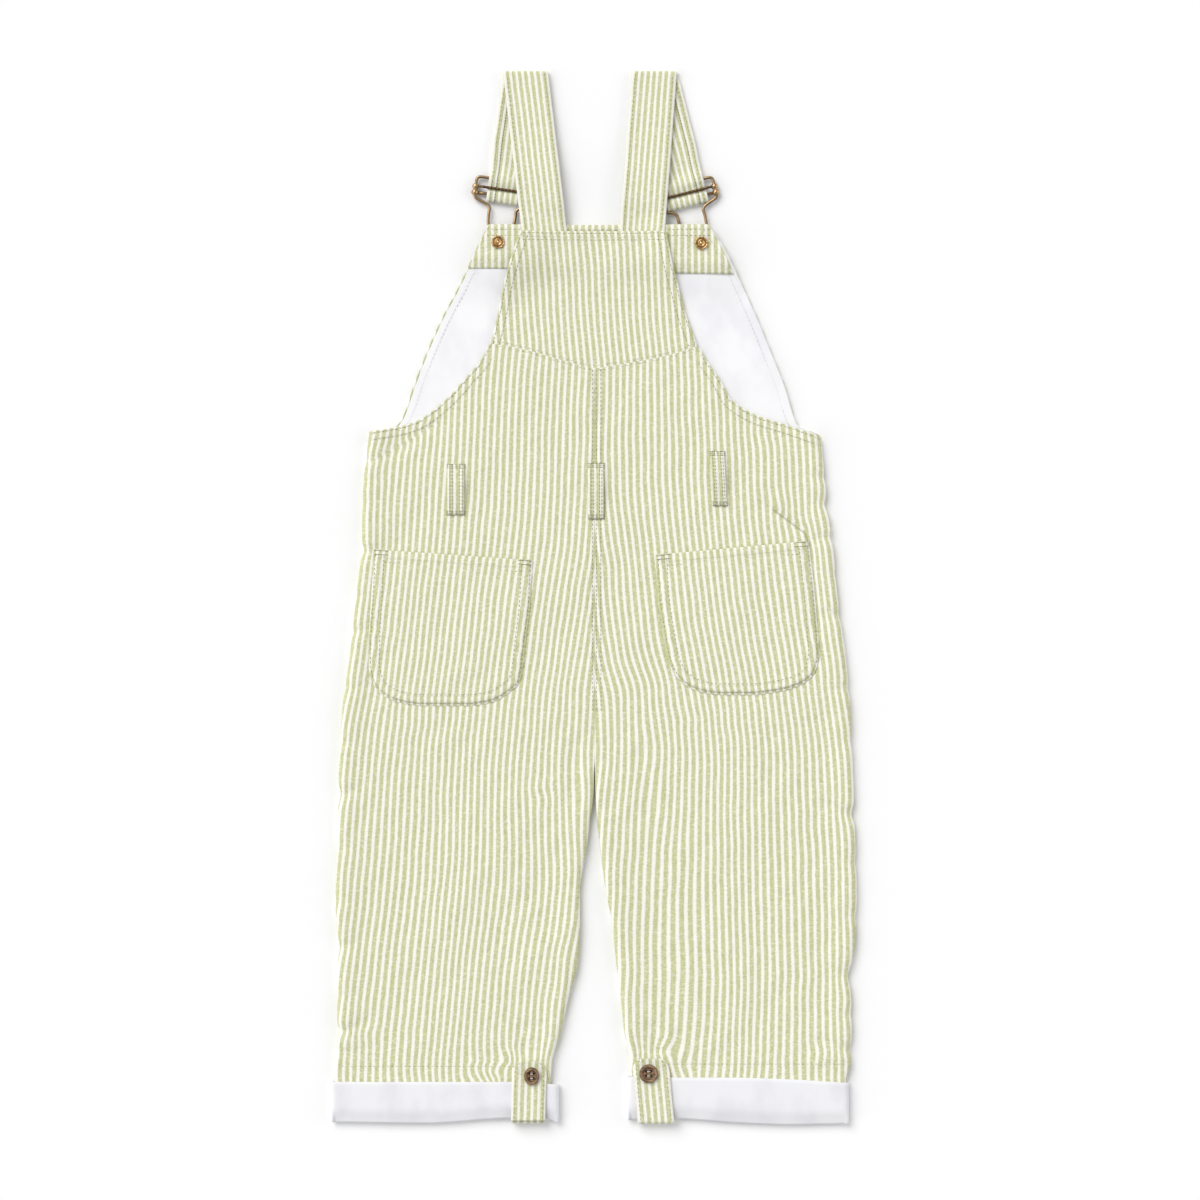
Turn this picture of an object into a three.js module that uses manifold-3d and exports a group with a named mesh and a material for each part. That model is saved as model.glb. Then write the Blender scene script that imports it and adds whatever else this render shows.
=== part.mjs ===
// Kids bib overalls laid flat on their front, so that the back shows. Millimetres.
// +Y runs from the leg hems to the strap folds, +X to the right as seen, +Z up from the table.
import * as THREE from "three";
import { mergeVertices } from "three/addons/utils/BufferGeometryUtils.js";
import Module from "manifold-3d";

const wasm = await Module();
wasm.setup();

// Cloth
const CLOTH = 1.0; // wall of one layer
const GAP = 0.3; // between pieces that are sewn together or lie on each other
const LAYER = CLOTH + GAP;
const BIB_LAYER = CLOTH + 0.7; // the bib's layers bow apart a little where they are lifted
const SIDE_MIDDLE = 3.3; // height of the fold along the sides of the body and legs
const SIDE_ROLL = 4; // how far the rolled side edges reach in
const HEM_MIDDLE = 3.5;
const HEM_ROLL = 2;
const HEM_RISE = 1.5; // the front of the leg climbs this far into the turned-up cuff
const PUFF = 1.2; // the side edges stand this much over the middle of the leg
const WAIST_Y = 108.9; // lowest point of the armholes
const WAIST_SEAM_Y = 80; // front bib to front legs
const CROTCH_Y = -112;
const LEG_END_Y = -333;
const YOKE_TOP_Y = 240.6;
const BIB_TOP_Y = 244.9;

const POCKET_EASE = 0.35; // the pockets stand this much more off the panel than a seam gap
const SEAM_DIP = 0.35; // the middle seam of the back is sewn down this far
const PUCKER_DIP = 0.9;
const WAIST_INSET = 6; // the bib's inside layers end this far in from the rolled sides
const FACING_BOTTOM_Y = 213.5;
const LOOP_BOW = 1.7; // a belt loop stands off the panel between its sewn ends
const MIDDLE = [-0.3, -0.3]; // middle of the outline, which becomes the part's origin

// Hardware
const WIRE = 2.0;
const CAP_HEIGHT = 1.4;
const BIB_LIFT = CAP_HEIGHT + WIRE + 2 * GAP; // the cap and the hook hold the bib off the table
const LIFT_FLAT = 14;
const LIFT_END = 46;
const STRAP_WIDTH = 29.7;
const STRAP_IN_BUCKLE = 27.8; // crowded a little between the sleeves
const FRAME_HALF = 19.8; // buckle axis to the middle of its side wires
const FRAME_SHIFT = 2.2; // the buckle sits this far out from the middle of its strap
const STRAP_EASE = 0.1;
const FOLD_TURN = 1.0; // half the height of the strap's fold
const FOLD_MIDDLE = 1.8;
const BAR_LOW = 2.4; // plain bar, from the end of the strap's loop
const BAR_TOOTHED = 6.4;
const PLAIN_RADIUS = 1.0;
const TOOTHED_RADIUS = 0.9;
const BAR_TOP = 13;
const FRAME_Z = 2.4;
const TOOTHED_Z = 4.6;

const rows = (names, values) =>
  values.map((row) => Object.fromEntries(names.map((n, i) => [n, row[i]])));

// Body and leg outline: left and right edge at each height
const BODY = rows(["y", "left", "right"], [
  [108.9, -148.5, 148.7],
  [64, -152.9, 153.4],
  [34, -153.4, 157.2],
  [0, -157.8, 160.2],
  [-40, -161.5, 165.6],
  [-70, -165.8, 168.3],
  [-110, -168.4, 170.2],
  [-160, -169.4, 171.8],
  [-200, -170.9, 172.8],
  [-228, -168.9, 171.6],
  [-250, -169.4, 168.6],
  [-277, -169.6, 169.6],
  [-305, -170.4, 168.8],
  [-319, -171.2, 165.6],
  [-334, -171.2, 165.2],
]);

// Inner edges of the two legs below the crotch
const INSEAM = rows(["y", "left", "right"], [
  [-112, -0.15, 0.15],
  [-125, -0.8, 0.7],
  [-145, -2.6, 1.4],
  [-164, -5, 3.6],
  [-195, -9.6, 7.6],
  [-215, -9.4, 11.6],
  [-240, -10.9, 14.2],
  [-266, -17.5, 17.5],
  [-286, -22.1, 19.5],
  [-306, -27.8, 23.6],
  [-319, -28.8, 24.8],
  [-334, -28.8, 24.8],
]);

// Puckers where the side seams pull in
const PUCKERS = rows(["side", "y", "bite", "reach"], [
  ["left", 30.4, 1.8, 4],
  ["left", -23, 1.1, 3],
  ["left", -60, 0.8, 4],
  ["left", -130, 1.6, 5],
  ["left", -231, 1.0, 5],
  ["left", -286, 3.2, 5],
  ["right", 60.7, 2.2, 5],
  ["right", 38.9, 1.2, 3],
  ["right", -12, 1.0, 4],
  ["right", -143, 2.2, 5],
  ["right", -250, 1.8, 6],
  ["right", -298, 1.4, 4],
]);

// Creases pressed into the back: ends, depth and half width of each trough
const CREASES = rows(["x1", "y1", "x2", "y2", "depth", "width"], [
  [-149.7, 87.4, -105.9, 113.5, 0.6, 3.5],
  [114, 61, 135, 46, 0.8, 4],
  [-14.2, -98, -11.6, -136, 0.9, 5],
  [29.4, -104, 38, -140, 0.9, 5],
  [33.3, -36, 56.4, -64, 0.6, 6],
  [-118, -96, -96, -150, 0.5, 8],
  [112, -90, 124, -170, 0.5, 9],
  [-70, -190, -52, -262, 0.5, 8],
  [64, -200, 82, -270, 0.5, 8],
  [37.3, -284, 44.2, -307, 0.9, 3.5],
  [54, -288, 51.8, -309, 0.9, 3.5],
  [-48, -284, -44, -307, 0.9, 3.5],
  [-36, -282, -38, -307, 0.8, 3.5],
  [-84, -302, -57, -313, 0.7, 4],
]);

// Height of the back's outer face down the middle
const LEVEL = rows(["y", "z"], [
  [245, 7.3],
  [222, 7.1],
  [204, 5.3],
  [180, 4.9],
  [100, 4.9],
  [0, 5.2],
  [-280, 5.4],
  [-312, 5.5],
  [-334, 5.5],
]);

// Top edge of the left and right back panel: armhole, then the V seam of the yoke
const BACK_TOP = rows(["x", "y"], [
  [-148.5, 108.9],
  [-132, 111.5],
  [-118, 115.5],
  [-104, 124.7],
  [-92.7, 135.3],
  [-83.5, 145.9],
  [-75.6, 154.5],
  [-68.3, 166.7],
  [-46.3, 163],
  [-21, 155.9],
  [0, 151],
  [24.4, 154.4],
  [52.7, 160.2],
  [67.8, 164.8],
  [73.9, 155.8],
  [82.8, 143.2],
  [90.1, 130],
  [107.3, 119.5],
  [129, 112.5],
  [148.7, 105.3],
]);

const YOKE = rows(["y", "left", "right"], [
  [240.6, -48.8, 47.2],
  [222, -55.1, 50.6],
  [205, -60, 55.2],
  [186, -63.8, 60.5],
  [166.5, -68.3, 67.6],
]);

const BIB = rows(["y", "left", "right"], [
  [244.9, -70.6, 76],
  [228, -78.4, 86.4],
  [206, -89, 97.4],
  [183, -101.2, 107.9],
  [160, -111.5, 117.3],
  [138, -119.9, 126],
  [118, -127, 132.1],
  [112.5, -131, 134.8],
  [109.5, -138, 141],
  [107.5, -148.3, 148.5],
]);

// Pocket outline; tilt is how far the row's ends stand above and below its middle
const POCKETS = {
  left: rows(["y", "left", "right", "tilt"], [
    [27.7, -145.5, -40.6, 3.6],
    [-2, -146.9, -42.2, 2.6],
    [-28, -148.5, -45.2, 1.6],
    [-45, -148.8, -47, 1],
    [-56, -146.5, -49.5, 0.6],
    [-62, -142.4, -55.4, 0.3],
    [-66.5, -136, -61.5, 0],
    [-69.8, -127, -69.5, 0],
    [-71.6, -115, -81, 0],
  ]),
  right: rows(["y", "left", "right", "tilt"], [
    [32.3, 40.3, 141.2, -4.6],
    [1.3, 41.9, 144.9, -3],
    [-21.8, 45.2, 146.9, -1.6],
    [-38.3, 47.9, 147.9, -0.8],
    [-50.5, 52.6, 144.6, 0],
    [-56.6, 58.2, 138, 0],
    [-60.9, 65.4, 127.5, 0],
    [-63.4, 74, 114, 0],
    [-64.4, 82, 106, 0],
  ]),
};

const LOOPS = rows(["name", "xTop", "xBottom", "top", "bottom", "width"], [
  ["left", -91.1, -91.1, 87.1, 54.1, 11.2],
  ["center", 1.3, 1.3, 87.8, 51.5, 9.9],
  ["right", 80.9, 82.8, 95.7, 60.1, 9.2],
]);

// Straps: start under the yoke, fold, end of the buckle loop, and the bib button
const SIDES = {
  left: {
    sign: -1, start: [-31.9, 231.5], fold: [-45.5, 346.3], end: [-57.4, 261.4],
    button: [-63.4, 233.2],
  },
  right: {
    sign: 1, start: [30.7, 231.5], fold: [39.5, 346.3], end: [61.3, 259.6],
    button: [70.3, 232.6],
  },
};

// Middle height of the strap's upper layer at each place along the garment
const STRAP_UPPER = rows(["y", "z"], [
  [231.5, 4.4],
  [245, 6.5],
  [258, 6.9],
  [276, 6.6],
  [294, 4.9],
  [312, 3.7],
  [330, 3.0],
  [342, 2.8],
]);

// Middle height of the lower layer by its distance from the end of the buckle loop
const STRAP_LOWER = rows(["s", "z"], [
  [81, 0.8],
  [60, 0.9],
  [48, 1.2],
  [40, 2.0],
  [24, 2.1],
  [18, 3.0],
  [14.2, 4.15],
  [12, 4.2],
  [9.5, 3.5],
  [7.2, 2.95],
  [5.6, 3.1],
  [4, 3.85],
  [2.4, 4.3],
]);
const STRAP_TAIL = 42;

// Half of the buckle's hook, out from its axis, below the end of the strap's loop
const HOOK = rows(["across", "along", "z"], [
  [FRAME_HALF, 1, 2.4],
  [FRAME_HALF - 0.9, -0.9, 2.4],
  [15, -2.6, 2.4],
  [10.6, -4.4, 2.4],
  [8.9, -6.4, 2.5],
  [8.9, -10, 2.6],
  [8.4, -16, 2.7],
  [6.6, -23, 2.7],
]);
const HOOK_EYE = 5; // the hook's round end about the button's shank
const BUTTON_ALONG = -28.5;

// Turned-up cuffs: top and bottom edge across each cuff
const CUFFS = {
  left: rows(["x", "top", "bottom"], [
    [-173.6, -319.4, -345.8],
    [-110, -319.4, -346.6],
    [-56, -319.4, -343.4],
    [-34, -320.4, -343.6],
    [-23.4, -321.4, -346.6],
  ]),
  right: rows(["x", "top", "bottom"], [
    [21.3, -316.1, -344.2],
    [56, -316.5, -343.8],
    [92, -316.6, -346.2],
    [130, -317.8, -347.6],
    [167.6, -320.1, -346.8],
  ]),
};
const CUFF_INNER_Y = -334.3; // the inner wall of the cuff meets the end of the leg here

const CUFF_WALL = GAP + CLOTH + 0.2; // the cuff's outer face over the leg's, with some ease
const CUFF_TURN = (CUFF_WALL + CLOTH) / 2; // radius of its turned lower edge
const CUFF_TOP_Z = HEM_MIDDLE + HEM_ROLL + CUFF_WALL;

const TABS = {
  left: {
    xTop: -42.4, xBottom: -43.6, width: 22.4, top: -305.4, button: [-41.3, -314.8], size: 9.8,
  },
  right: {
    xTop: 36.6, xBottom: 40.4, width: 24.2, top: -303.8, button: [35.6, -313.2], size: 10.4,
  },
};
const TAB_SLACK = 1.3; // the tab hangs this far below the cuff's edge
const TAB_TAIL = 14; // how far it reaches up under the cuff

// Rounded upper end of a tab: share of its width at each drop below its top
const TAB_SHAPE = rows(["drop", "share"], [
  [0, 0.5],
  [2.2, 0.8],
  [5.5, 0.97],
  [9, 1],
  [12, 1],
  [15.5, 1],
  [20, 1],
  [30, 1],
]);
const BUTTON_BASE_Z = CUFF_TOP_Z + GAP + CLOTH + 0.2; // on the tab, over its highest place
const BUTTON_HOLE = { radius: 0.6, offset: 1.1 };

const COLOURS = {
  stripe: [0xdfe1c4, 0.9, 0],
  white: [0xf6f6f4, 0.9, 0],
  metal: [0x8a6a48, 0.38, 0.9],
  copper: [0xb98a50, 0.35, 0.9],
  brown: [0x6d4c35, 0.45, 0],
};

const garment = new THREE.Group();

function material(key) {
  const [color, roughness, metalness] = COLOURS[key];
  return new THREE.MeshStandardMaterial({ color, roughness, metalness });
}

function addPiece(name, geometry, key, parent = garment) {
  const mesh = new THREE.Mesh(geometry, material(key));
  mesh.name = name;
  parent.add(mesh);
  return mesh;
}

const radians = (degrees) => (degrees * Math.PI) / 180;
const mix = (a, b, t) => a + (b - a) * t;
const clamp01 = (t) => Math.min(1, Math.max(0, t));
const bell = (q) => Math.exp(-q * q);

function smooth(from, to, x) {
  const t = clamp01((x - from) / (to - from));
  return t * t * (3 - 2 * t);
}

// Value of a column at a place along a table, on a curve that doesn't overshoot its rows
function along(table, key, place, column) {
  const up = table[0][key] < table[1][key];
  const t = up ? table : [...table].reverse();
  const n = t.length;
  if (place <= t[0][key]) return t[0][column];
  if (place >= t[n - 1][key]) return t[n - 1][column];
  let i = 0;
  while (t[i + 1][key] < place) i++;
  const slope = (k) => (t[k + 1][column] - t[k][column]) / (t[k + 1][key] - t[k][key]);
  const tangent = (k) => {
    if (k === 0) return slope(0);
    if (k === n - 1) return slope(n - 2);
    const [a, b] = [slope(k - 1), slope(k)];
    return a * b <= 0 ? 0 : (2 * a * b) / (a + b);
  };
  const width = t[i + 1][key] - t[i][key];
  const q = (place - t[i][key]) / width;
  const [q2, q3] = [q * q, q * q * q];
  return (2 * q3 - 3 * q2 + 1) * t[i][column] + (q3 - 2 * q2 + q) * width * tangent(i) +
    (3 * q2 - 2 * q3) * t[i + 1][column] + (q3 - q2) * width * tangent(i + 1);
}

function sideEdge(side, y) {
  const inward = side === "left" ? 1 : -1;
  let x = along(BODY, "y", y, side);
  for (const p of PUCKERS)
    if (p.side === side) x += inward * p.bite * bell((y - p.y) / p.reach);
  return x;
}

const innerEdge = (side, y) => along(INSEAM, "y", y, side);
const sideName = (x) => (x < 0 ? "left" : "right");

function bibLift(x, y) {
  let most = 0;
  for (const { button } of Object.values(SIDES)) {
    const r = Math.hypot(x - button[0], y - button[1]);
    most = Math.max(most, 1 - smooth(LIFT_FLAT, LIFT_END, r));
  }
  return BIB_LIFT * most;
}

function creaseDepth(x, y) {
  let depth = 0;
  for (const c of CREASES) {
    const [dx, dy] = [c.x2 - c.x1, c.y2 - c.y1];
    const t = clamp01(((x - c.x1) * dx + (y - c.y1) * dy) / (dx * dx + dy * dy));
    const off = Math.hypot(x - c.x1 - t * dx, y - c.y1 - t * dy);
    depth += c.depth * bell(off / c.width);
  }
  return depth;
}

const HEM_LINES = [-294, -301, -307, -313];
const rolled = (q) => (q >= 1 ? 1 : Math.sqrt(Math.max(0, 1 - (1 - q) ** 2)));
const hemShare = (y) => smooth(HEM_LINES[0], HEM_LINES[3], y);
const legOpen = (y) => smooth(CROTCH_Y + 4, CROTCH_Y - 8, y);
const rollReach = (y) => mix(SIDE_ROLL, HEM_ROLL, hemShare(y));
const foldHeight = (y) => mix(SIDE_MIDDLE, HEM_MIDDLE, hemShare(y));

// Height of the back's outer face anywhere on a back panel
function backTop(x, y, side = sideName(x)) {
  const out = Math.abs(x - sideEdge(side, y));
  const inn = Math.abs(x - innerEdge(side, y));
  const [hem, open, reach] = [hemShare(y), legOpen(y), rollReach(y)];
  const edge = foldHeight(y) + GAP / 2;
  let top = along(LEVEL, "y", y, "z") + bibLift(x, y);
  top += (1 - hem) * PUFF * (bell((out - 6) / 8) + 0.8 * open * bell((inn - 6) / 8));
  top -= (1 - hem) * creaseDepth(x, y);
  top -= SEAM_DIP * (1 - open) * bell(inn / 2.4);
  for (const p of PUCKERS)
    if (p.side === side)
      top -= PUCKER_DIP * (1 - hem) * bell((y - p.y) / p.reach) * bell(out / 13);
  const outer = rolled(out / reach);
  const inner = 1 - open * (1 - rolled(inn / reach));
  return edge + (top - edge) * outer * inner;
}

// Height of the front's outer face, which lies on the table but for its rolled edges
function frontBottom(x, y, side) {
  const out = Math.abs(x - sideEdge(side, y));
  const inn = Math.abs(x - innerEdge(side, y));
  const floor = HEM_RISE * hemShare(y);
  const edge = foldHeight(y) - GAP / 2;
  const below = smooth(WAIST_Y - 1, WAIST_Y - 12, y);
  const outer = 1 - below * (1 - rolled(out / rollReach(y)));
  const inner = 1 - legOpen(y) * (1 - rolled(inn / rollReach(y)));
  return edge + (floor - edge) * outer * inner;
}

// Places down a panel: even steps, and a place at and beside each pucker and above the hem
function stations(top, bottom, step, side, beside = true) {
  const marks = PUCKERS.filter((p) => p.side === side && p.y < top && p.y > bottom);
  const spread = beside ? [1, 0, -1] : [0];
  const wanted = [...marks.flatMap((p) => spread.map((k) => p.y + k * p.reach)), ...HEM_LINES];
  const count = Math.round((top - bottom) / step);
  for (let i = 0; i <= count; i++) {
    const y = mix(top, bottom, i / count);
    const ends = i === 0 || i === count;
    if (ends || wanted.every((w) => Math.abs(w - y) > step * 0.4)) wanted.push(y);
  }
  return wanted.filter((y) => y <= top && y >= bottom).sort((a, b) => b - a);
}

// A wall of cloth: a grid of points on its outer face, and the same points moved in by its
// thickness, closed round the rim. The outer face looks along the turn from u to v. Where a
// side rim is rolled over, its cut end is level, so that it meets the piece on its other side.
// A share of the thickness can lie outside the grid.
function wall(columns, lines, pointAt, share = 0) {
  const grid = [];
  for (let i = 0; i < lines; i++)
    for (let j = 0; j < columns; j++) grid.push(pointAt(j, i));
  const at = (j, i) => grid[i * columns + j];
  const outer = [];
  const inner = [];
  for (let i = 0; i < lines; i++)
    for (let j = 0; j < columns; j++) {
      const u = at(Math.min(j + 1, columns - 1), i).clone().sub(at(Math.max(j - 1, 0), i));
      const v = at(j, Math.min(i + 1, lines - 1)).clone().sub(at(j, Math.max(i - 1, 0)));
      const n = u.cross(v).normalize();
      if (j === 0 || j === columns - 1) n.setZ(n.z * smooth(0.7, 0.95, Math.abs(n.z))).normalize();
      outer.push(at(j, i).clone().addScaledVector(n, share * CLOTH));
      inner.push(at(j, i).clone().addScaledVector(n, (share - 1) * CLOTH));
    }
  const index = [];
  const size = columns * lines;
  const quad = (a, b, c, d) => index.push(a, b, c, a, c, d);
  for (let i = 0; i + 1 < lines; i++)
    for (let j = 0; j + 1 < columns; j++) {
      const a = i * columns + j;
      quad(a, a + 1, a + columns + 1, a + columns);
      quad(size + a, size + a + columns, size + a + columns + 1, size + a + 1);
    }
  const rim = [];
  for (let j = 0; j < columns; j++) rim.push(j);
  for (let i = 1; i < lines; i++) rim.push(i * columns + columns - 1);
  for (let j = columns - 2; j >= 0; j--) rim.push((lines - 1) * columns + j);
  for (let i = lines - 2; i > 0; i--) rim.push(i * columns);
  rim.forEach((a, k) => {
    const b = rim[(k + 1) % rim.length];
    quad(b, a, size + a, size + b);
  });
  const geometry = new THREE.BufferGeometry();
  const flat = [...outer, ...inner].flatMap((p) => [p.x, p.y, p.z]);
  geometry.setAttribute("position", new THREE.Float32BufferAttribute(flat, 3));
  geometry.setIndex(index);
  geometry.computeVertexNormals();
  return geometry;
}

// Columns of a body panel: close together on the rolled edges and at the armhole's bends
const BACK_ROLL = [0, 0.18, 0.6, 1.2, 2.4];
const FRONT_ROLL = [0, 0.18, 0.6, 2.4];
const BACK_COLUMNS = [118, 98, 82, 68.2, 46, 22];
const FRONT_COLUMNS = [90, 45];
const WAIST_HALF = 148.5; // half width at the waist, from which those columns are measured

function panelColumns(middle, shares) {
  return [
    ...shares.map((share) => (side, y) =>
      sideEdge(side, y) - SIDES[side].sign * share * rollReach(y)),
    ...middle.map((m) => (side, y) => {
      const share = (WAIST_HALF - m) / WAIST_HALF;
      return mix(sideEdge(side, y), innerEdge(side, y), share);
    }),
    ...[...shares].reverse().map((share) => (side, y) =>
      innerEdge(side, y) + SIDES[side].sign * share * rollReach(y)),
  ];
}

function backPanel(side) {
  const columns = panelColumns(BACK_COLUMNS, BACK_ROLL);
  const lines = stations(WAIST_Y, LEG_END_Y, 20, side);
  const order = side === "left" ? columns : [...columns].reverse();
  return wall(columns.length, lines.length, (j, i) => {
    const atWaist = order[j](side, WAIST_Y);
    const lifted = along(BACK_TOP, "x", atWaist, "y") - GAP / 2 - WAIST_Y;
    const line = lines[lines.length - 1 - i];
    const y = line + lifted * smooth(10, WAIST_Y, line);
    const x = order[j](side, Math.min(y, WAIST_Y));
    return new THREE.Vector3(x, y, backTop(x, y, side));
  });
}

function frontLeg(side) {
  const columns = panelColumns(FRONT_COLUMNS, FRONT_ROLL);
  const lines = stations(WAIST_SEAM_Y - GAP / 2, LEG_END_Y, 26, side, false);
  const order = side === "left" ? columns : [...columns].reverse();
  return wall(columns.length, lines.length, (j, i) => {
    const x = order[j](side, lines[i]);
    return new THREE.Vector3(x, lines[i], frontBottom(x, lines[i], side));
  });
}

function bibEdge(side, y) {
  return y >= BIB[BIB.length - 1].y ? along(BIB, "y", y, side) : sideEdge(side, y);
}

// The front bib and what lies inside it: the same columns and lines, so that each layer lies
// evenly on the one below
const BIB_SHARES = [0.03, 0.08, 0.14, 0.22, 0.32, 0.43, 0.57, 0.68, 0.78, 0.86, 0.92, 0.97];
const BIB_LINES = [94, 100, 107, 109.5, 112.5, 119, 138, 164, 188, 202, FACING_BOTTOM_Y, 224, 235];

function bibX(shares, j, y, inset) {
  const [left, right] = [bibEdge("left", y), bibEdge("right", y)];
  if (j === 0) return left + inset;
  if (j === shares.length - 1) return right - inset;
  return mix(left, right, shares[j]);
}

function frontBib() {
  const shares = [0, 0.003, 0.012, ...BIB_SHARES, 0.988, 0.997, 1];
  const lines = [WAIST_SEAM_Y + GAP / 2, 87, ...BIB_LINES, BIB_TOP_Y].reverse();
  return wall(shares.length, lines.length, (j, i) => {
    const [x, y] = [bibX(shares, j, lines[i], 0), lines[i]];
    return new THREE.Vector3(x, y, frontBottom(x, y, sideName(x)) + bibLift(x, y));
  });
}

// A layer on the inside of the bib, with its outer face up
function bibInside(lines, inset, layers) {
  const shares = [0, ...BIB_SHARES, 1];
  return wall(shares.length, lines.length, (j, i) => {
    const y = lines[i];
    const x = bibX(shares, j, y, inset + WAIST_INSET * smooth(WAIST_Y + 2, WAIST_Y - 6, y));
    return new THREE.Vector3(x, y, bibLift(x, y) + layers * BIB_LAYER + CLOTH);
  });
}

function yoke() {
  const [columns, lines] = [14, 8];
  return wall(columns, lines, (j, i) => {
    const u = j / (columns - 1);
    const last = YOKE[YOKE.length - 1];
    const low = along(BACK_TOP, "x", mix(last.left, last.right, u), "y") + GAP;
    const y = mix(low, YOKE_TOP_Y, i / (lines - 1));
    const x = mix(along(YOKE, "y", y, "left"), along(YOKE, "y", y, "right"), u);
    return new THREE.Vector3(x, y, yokeTop(x, y));
  });
}

function yokeTop(x, y) {
  const between = 0.9 * smooth(205, 225, y) * bell(x / 10);
  return along(LEVEL, "y", y, "z") + bibLift(x, y) - between;
}

function pocket(side) {
  const table = POCKETS[side];
  const [columns, lines] = [11, 12];
  const low = table[table.length - 1].y;
  return wall(columns, lines, (j, i) => {
    const share = 1 - (i / (lines - 1));
    const row = mix(table[0].y, low, Math.sin((share * Math.PI) / 2));
    const u = j / (columns - 1);
    const x = mix(along(table, "y", row, "left"), along(table, "y", row, "right"), u);
    const y = row + along(table, "y", row, "tilt") * (1 - 2 * u);
    return new THREE.Vector3(x, y, backTop(x, y, side) + LAYER + POCKET_EASE);
  });
}

function beltLoop(row) {
  const [columns, lines] = [3, 11];
  return wall(columns, lines, (j, i) => {
    const t = i / (lines - 1);
    const y = mix(row.bottom, row.top, t);
    const x = mix(row.xBottom, row.xTop, t) + row.width * (j / (columns - 1) - 0.5);
    const middle = mix(row.xBottom, row.xTop, t);
    const base = Math.max(backTop(x, y), backTop(middle, y));
    return new THREE.Vector3(x, y, base + LAYER + LOOP_BOW * Math.sin(Math.PI * t) ** 2);
  });
}

// A flat strip: middle points along it, its direction across, and its width
function strip(path, across) {
  const columns = 4;
  return wall(columns, path.length, (j, i) => {
    const w = path[i].width * (j / (columns - 1) - 0.5);
    const a = across(i);
    const x = path[i].x + a.x * w;
    const y = path[i].y + a.y * w;
    const z = path[i].draped ? path[i].draped(x, y) : path[i].z;
    return new THREE.Vector3(x, y, z);
  }, 0.5);
}

function strap(side) {
  const ends = SIDES[side];
  const start = new THREE.Vector2(...ends.start);
  const fold = new THREE.Vector2(...ends.fold);
  const end = new THREE.Vector2(...ends.end);
  const upAxis = fold.clone().sub(start).normalize();
  const downAxis = fold.clone().sub(end).normalize();
  const path = [];
  const point = (p, z, axis, draped, width = STRAP_WIDTH) =>
    path.push({ x: p.x, y: p.y, z, axis, draped, width });
  const inBuckle = (s) => mix(STRAP_IN_BUCKLE, STRAP_WIDTH, smooth(16, 40, s));
  const upperZ = (x, y) => {
    const onBib = bibLift(x, y) + 2 * BIB_LAYER + LAYER + CLOTH / 2 + STRAP_EASE;
    return mix(onBib, along(STRAP_UPPER, "y", y, "z"), smooth(246, 262, y));
  };
  const upper = fold.distanceTo(start);
  for (const share of [0, 0.08, 0.16, 0.25, 0.4, 0.55, 0.7, 0.85, 0.95]) {
    const p = start.clone().addScaledVector(upAxis, share * upper);
    point(p, 0, upAxis, upperZ);
  }
  for (const angle of [90, 45, 0, -45, -90].map(radians)) {
    const p = new THREE.Vector2(fold.x, fold.y + FOLD_TURN * (Math.cos(angle) - 1));
    point(p, FOLD_MIDDLE + FOLD_TURN * Math.sin(angle), new THREE.Vector2(0, 1));
  }
  const lower = (s, z) =>
    point(end.clone().addScaledVector(downAxis, s), z, downAxis, null, inBuckle(s));
  for (const row of STRAP_LOWER) lower(row.s, row.z);
  const loopTurn = PLAIN_RADIUS + GAP + CLOTH / 2;
  const loopZ = STRAP_LOWER[STRAP_LOWER.length - 1].z - loopTurn;
  for (const angle of [60, 30, 0, -30, -60, -90].map(radians))
    lower(BAR_LOW - loopTurn * Math.cos(angle),
      Math.max(loopZ + loopTurn * Math.sin(angle), CLOTH / 2));
  for (const reach of [12, 24, STRAP_TAIL])
    point(end.clone().addScaledVector(downAxis, reach), CLOTH / 2, downAxis, null, STRAP_IN_BUCKLE);
  return strip(path, (i) => ({ x: path[i].axis.y, y: -path[i].axis.x }));
}

// A round wire along a closed path
function wireLoop(points, radius, sides, steps) {
  const curve = new THREE.CatmullRomCurve3(points, true, "centripetal");
  const section = new THREE.Shape();
  for (let k = 0; k < sides; k++) {
    const a = (k / sides) * 2 * Math.PI;
    section[k === 0 ? "moveTo" : "lineTo"](radius * Math.cos(a), radius * Math.sin(a));
  }
  return new THREE.ExtrudeGeometry(section, {
    extrudePath: curve, steps, bevelEnabled: false, curveSegments: 1,
  });
}

function solidOf(geometry) {
  const bare = geometry.clone();
  bare.deleteAttribute("normal");
  bare.deleteAttribute("uv");
  const merged = mergeVertices(bare, 1e-4);
  return new wasm.Manifold(new wasm.Mesh({
    numProp: 3,
    vertProperties: new Float32Array(merged.attributes.position.array),
    triVerts: new Uint32Array(merged.index.array),
  }));
}

function geometryOf(solid) {
  const { vertProperties, triVerts } = solid.getMesh();
  const geometry = new THREE.BufferGeometry();
  geometry.setAttribute("position", new THREE.BufferAttribute(vertProperties, 3));
  geometry.setIndex(new THREE.BufferAttribute(triVerts, 1));
  geometry.computeVertexNormals();
  return geometry;
}

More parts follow.
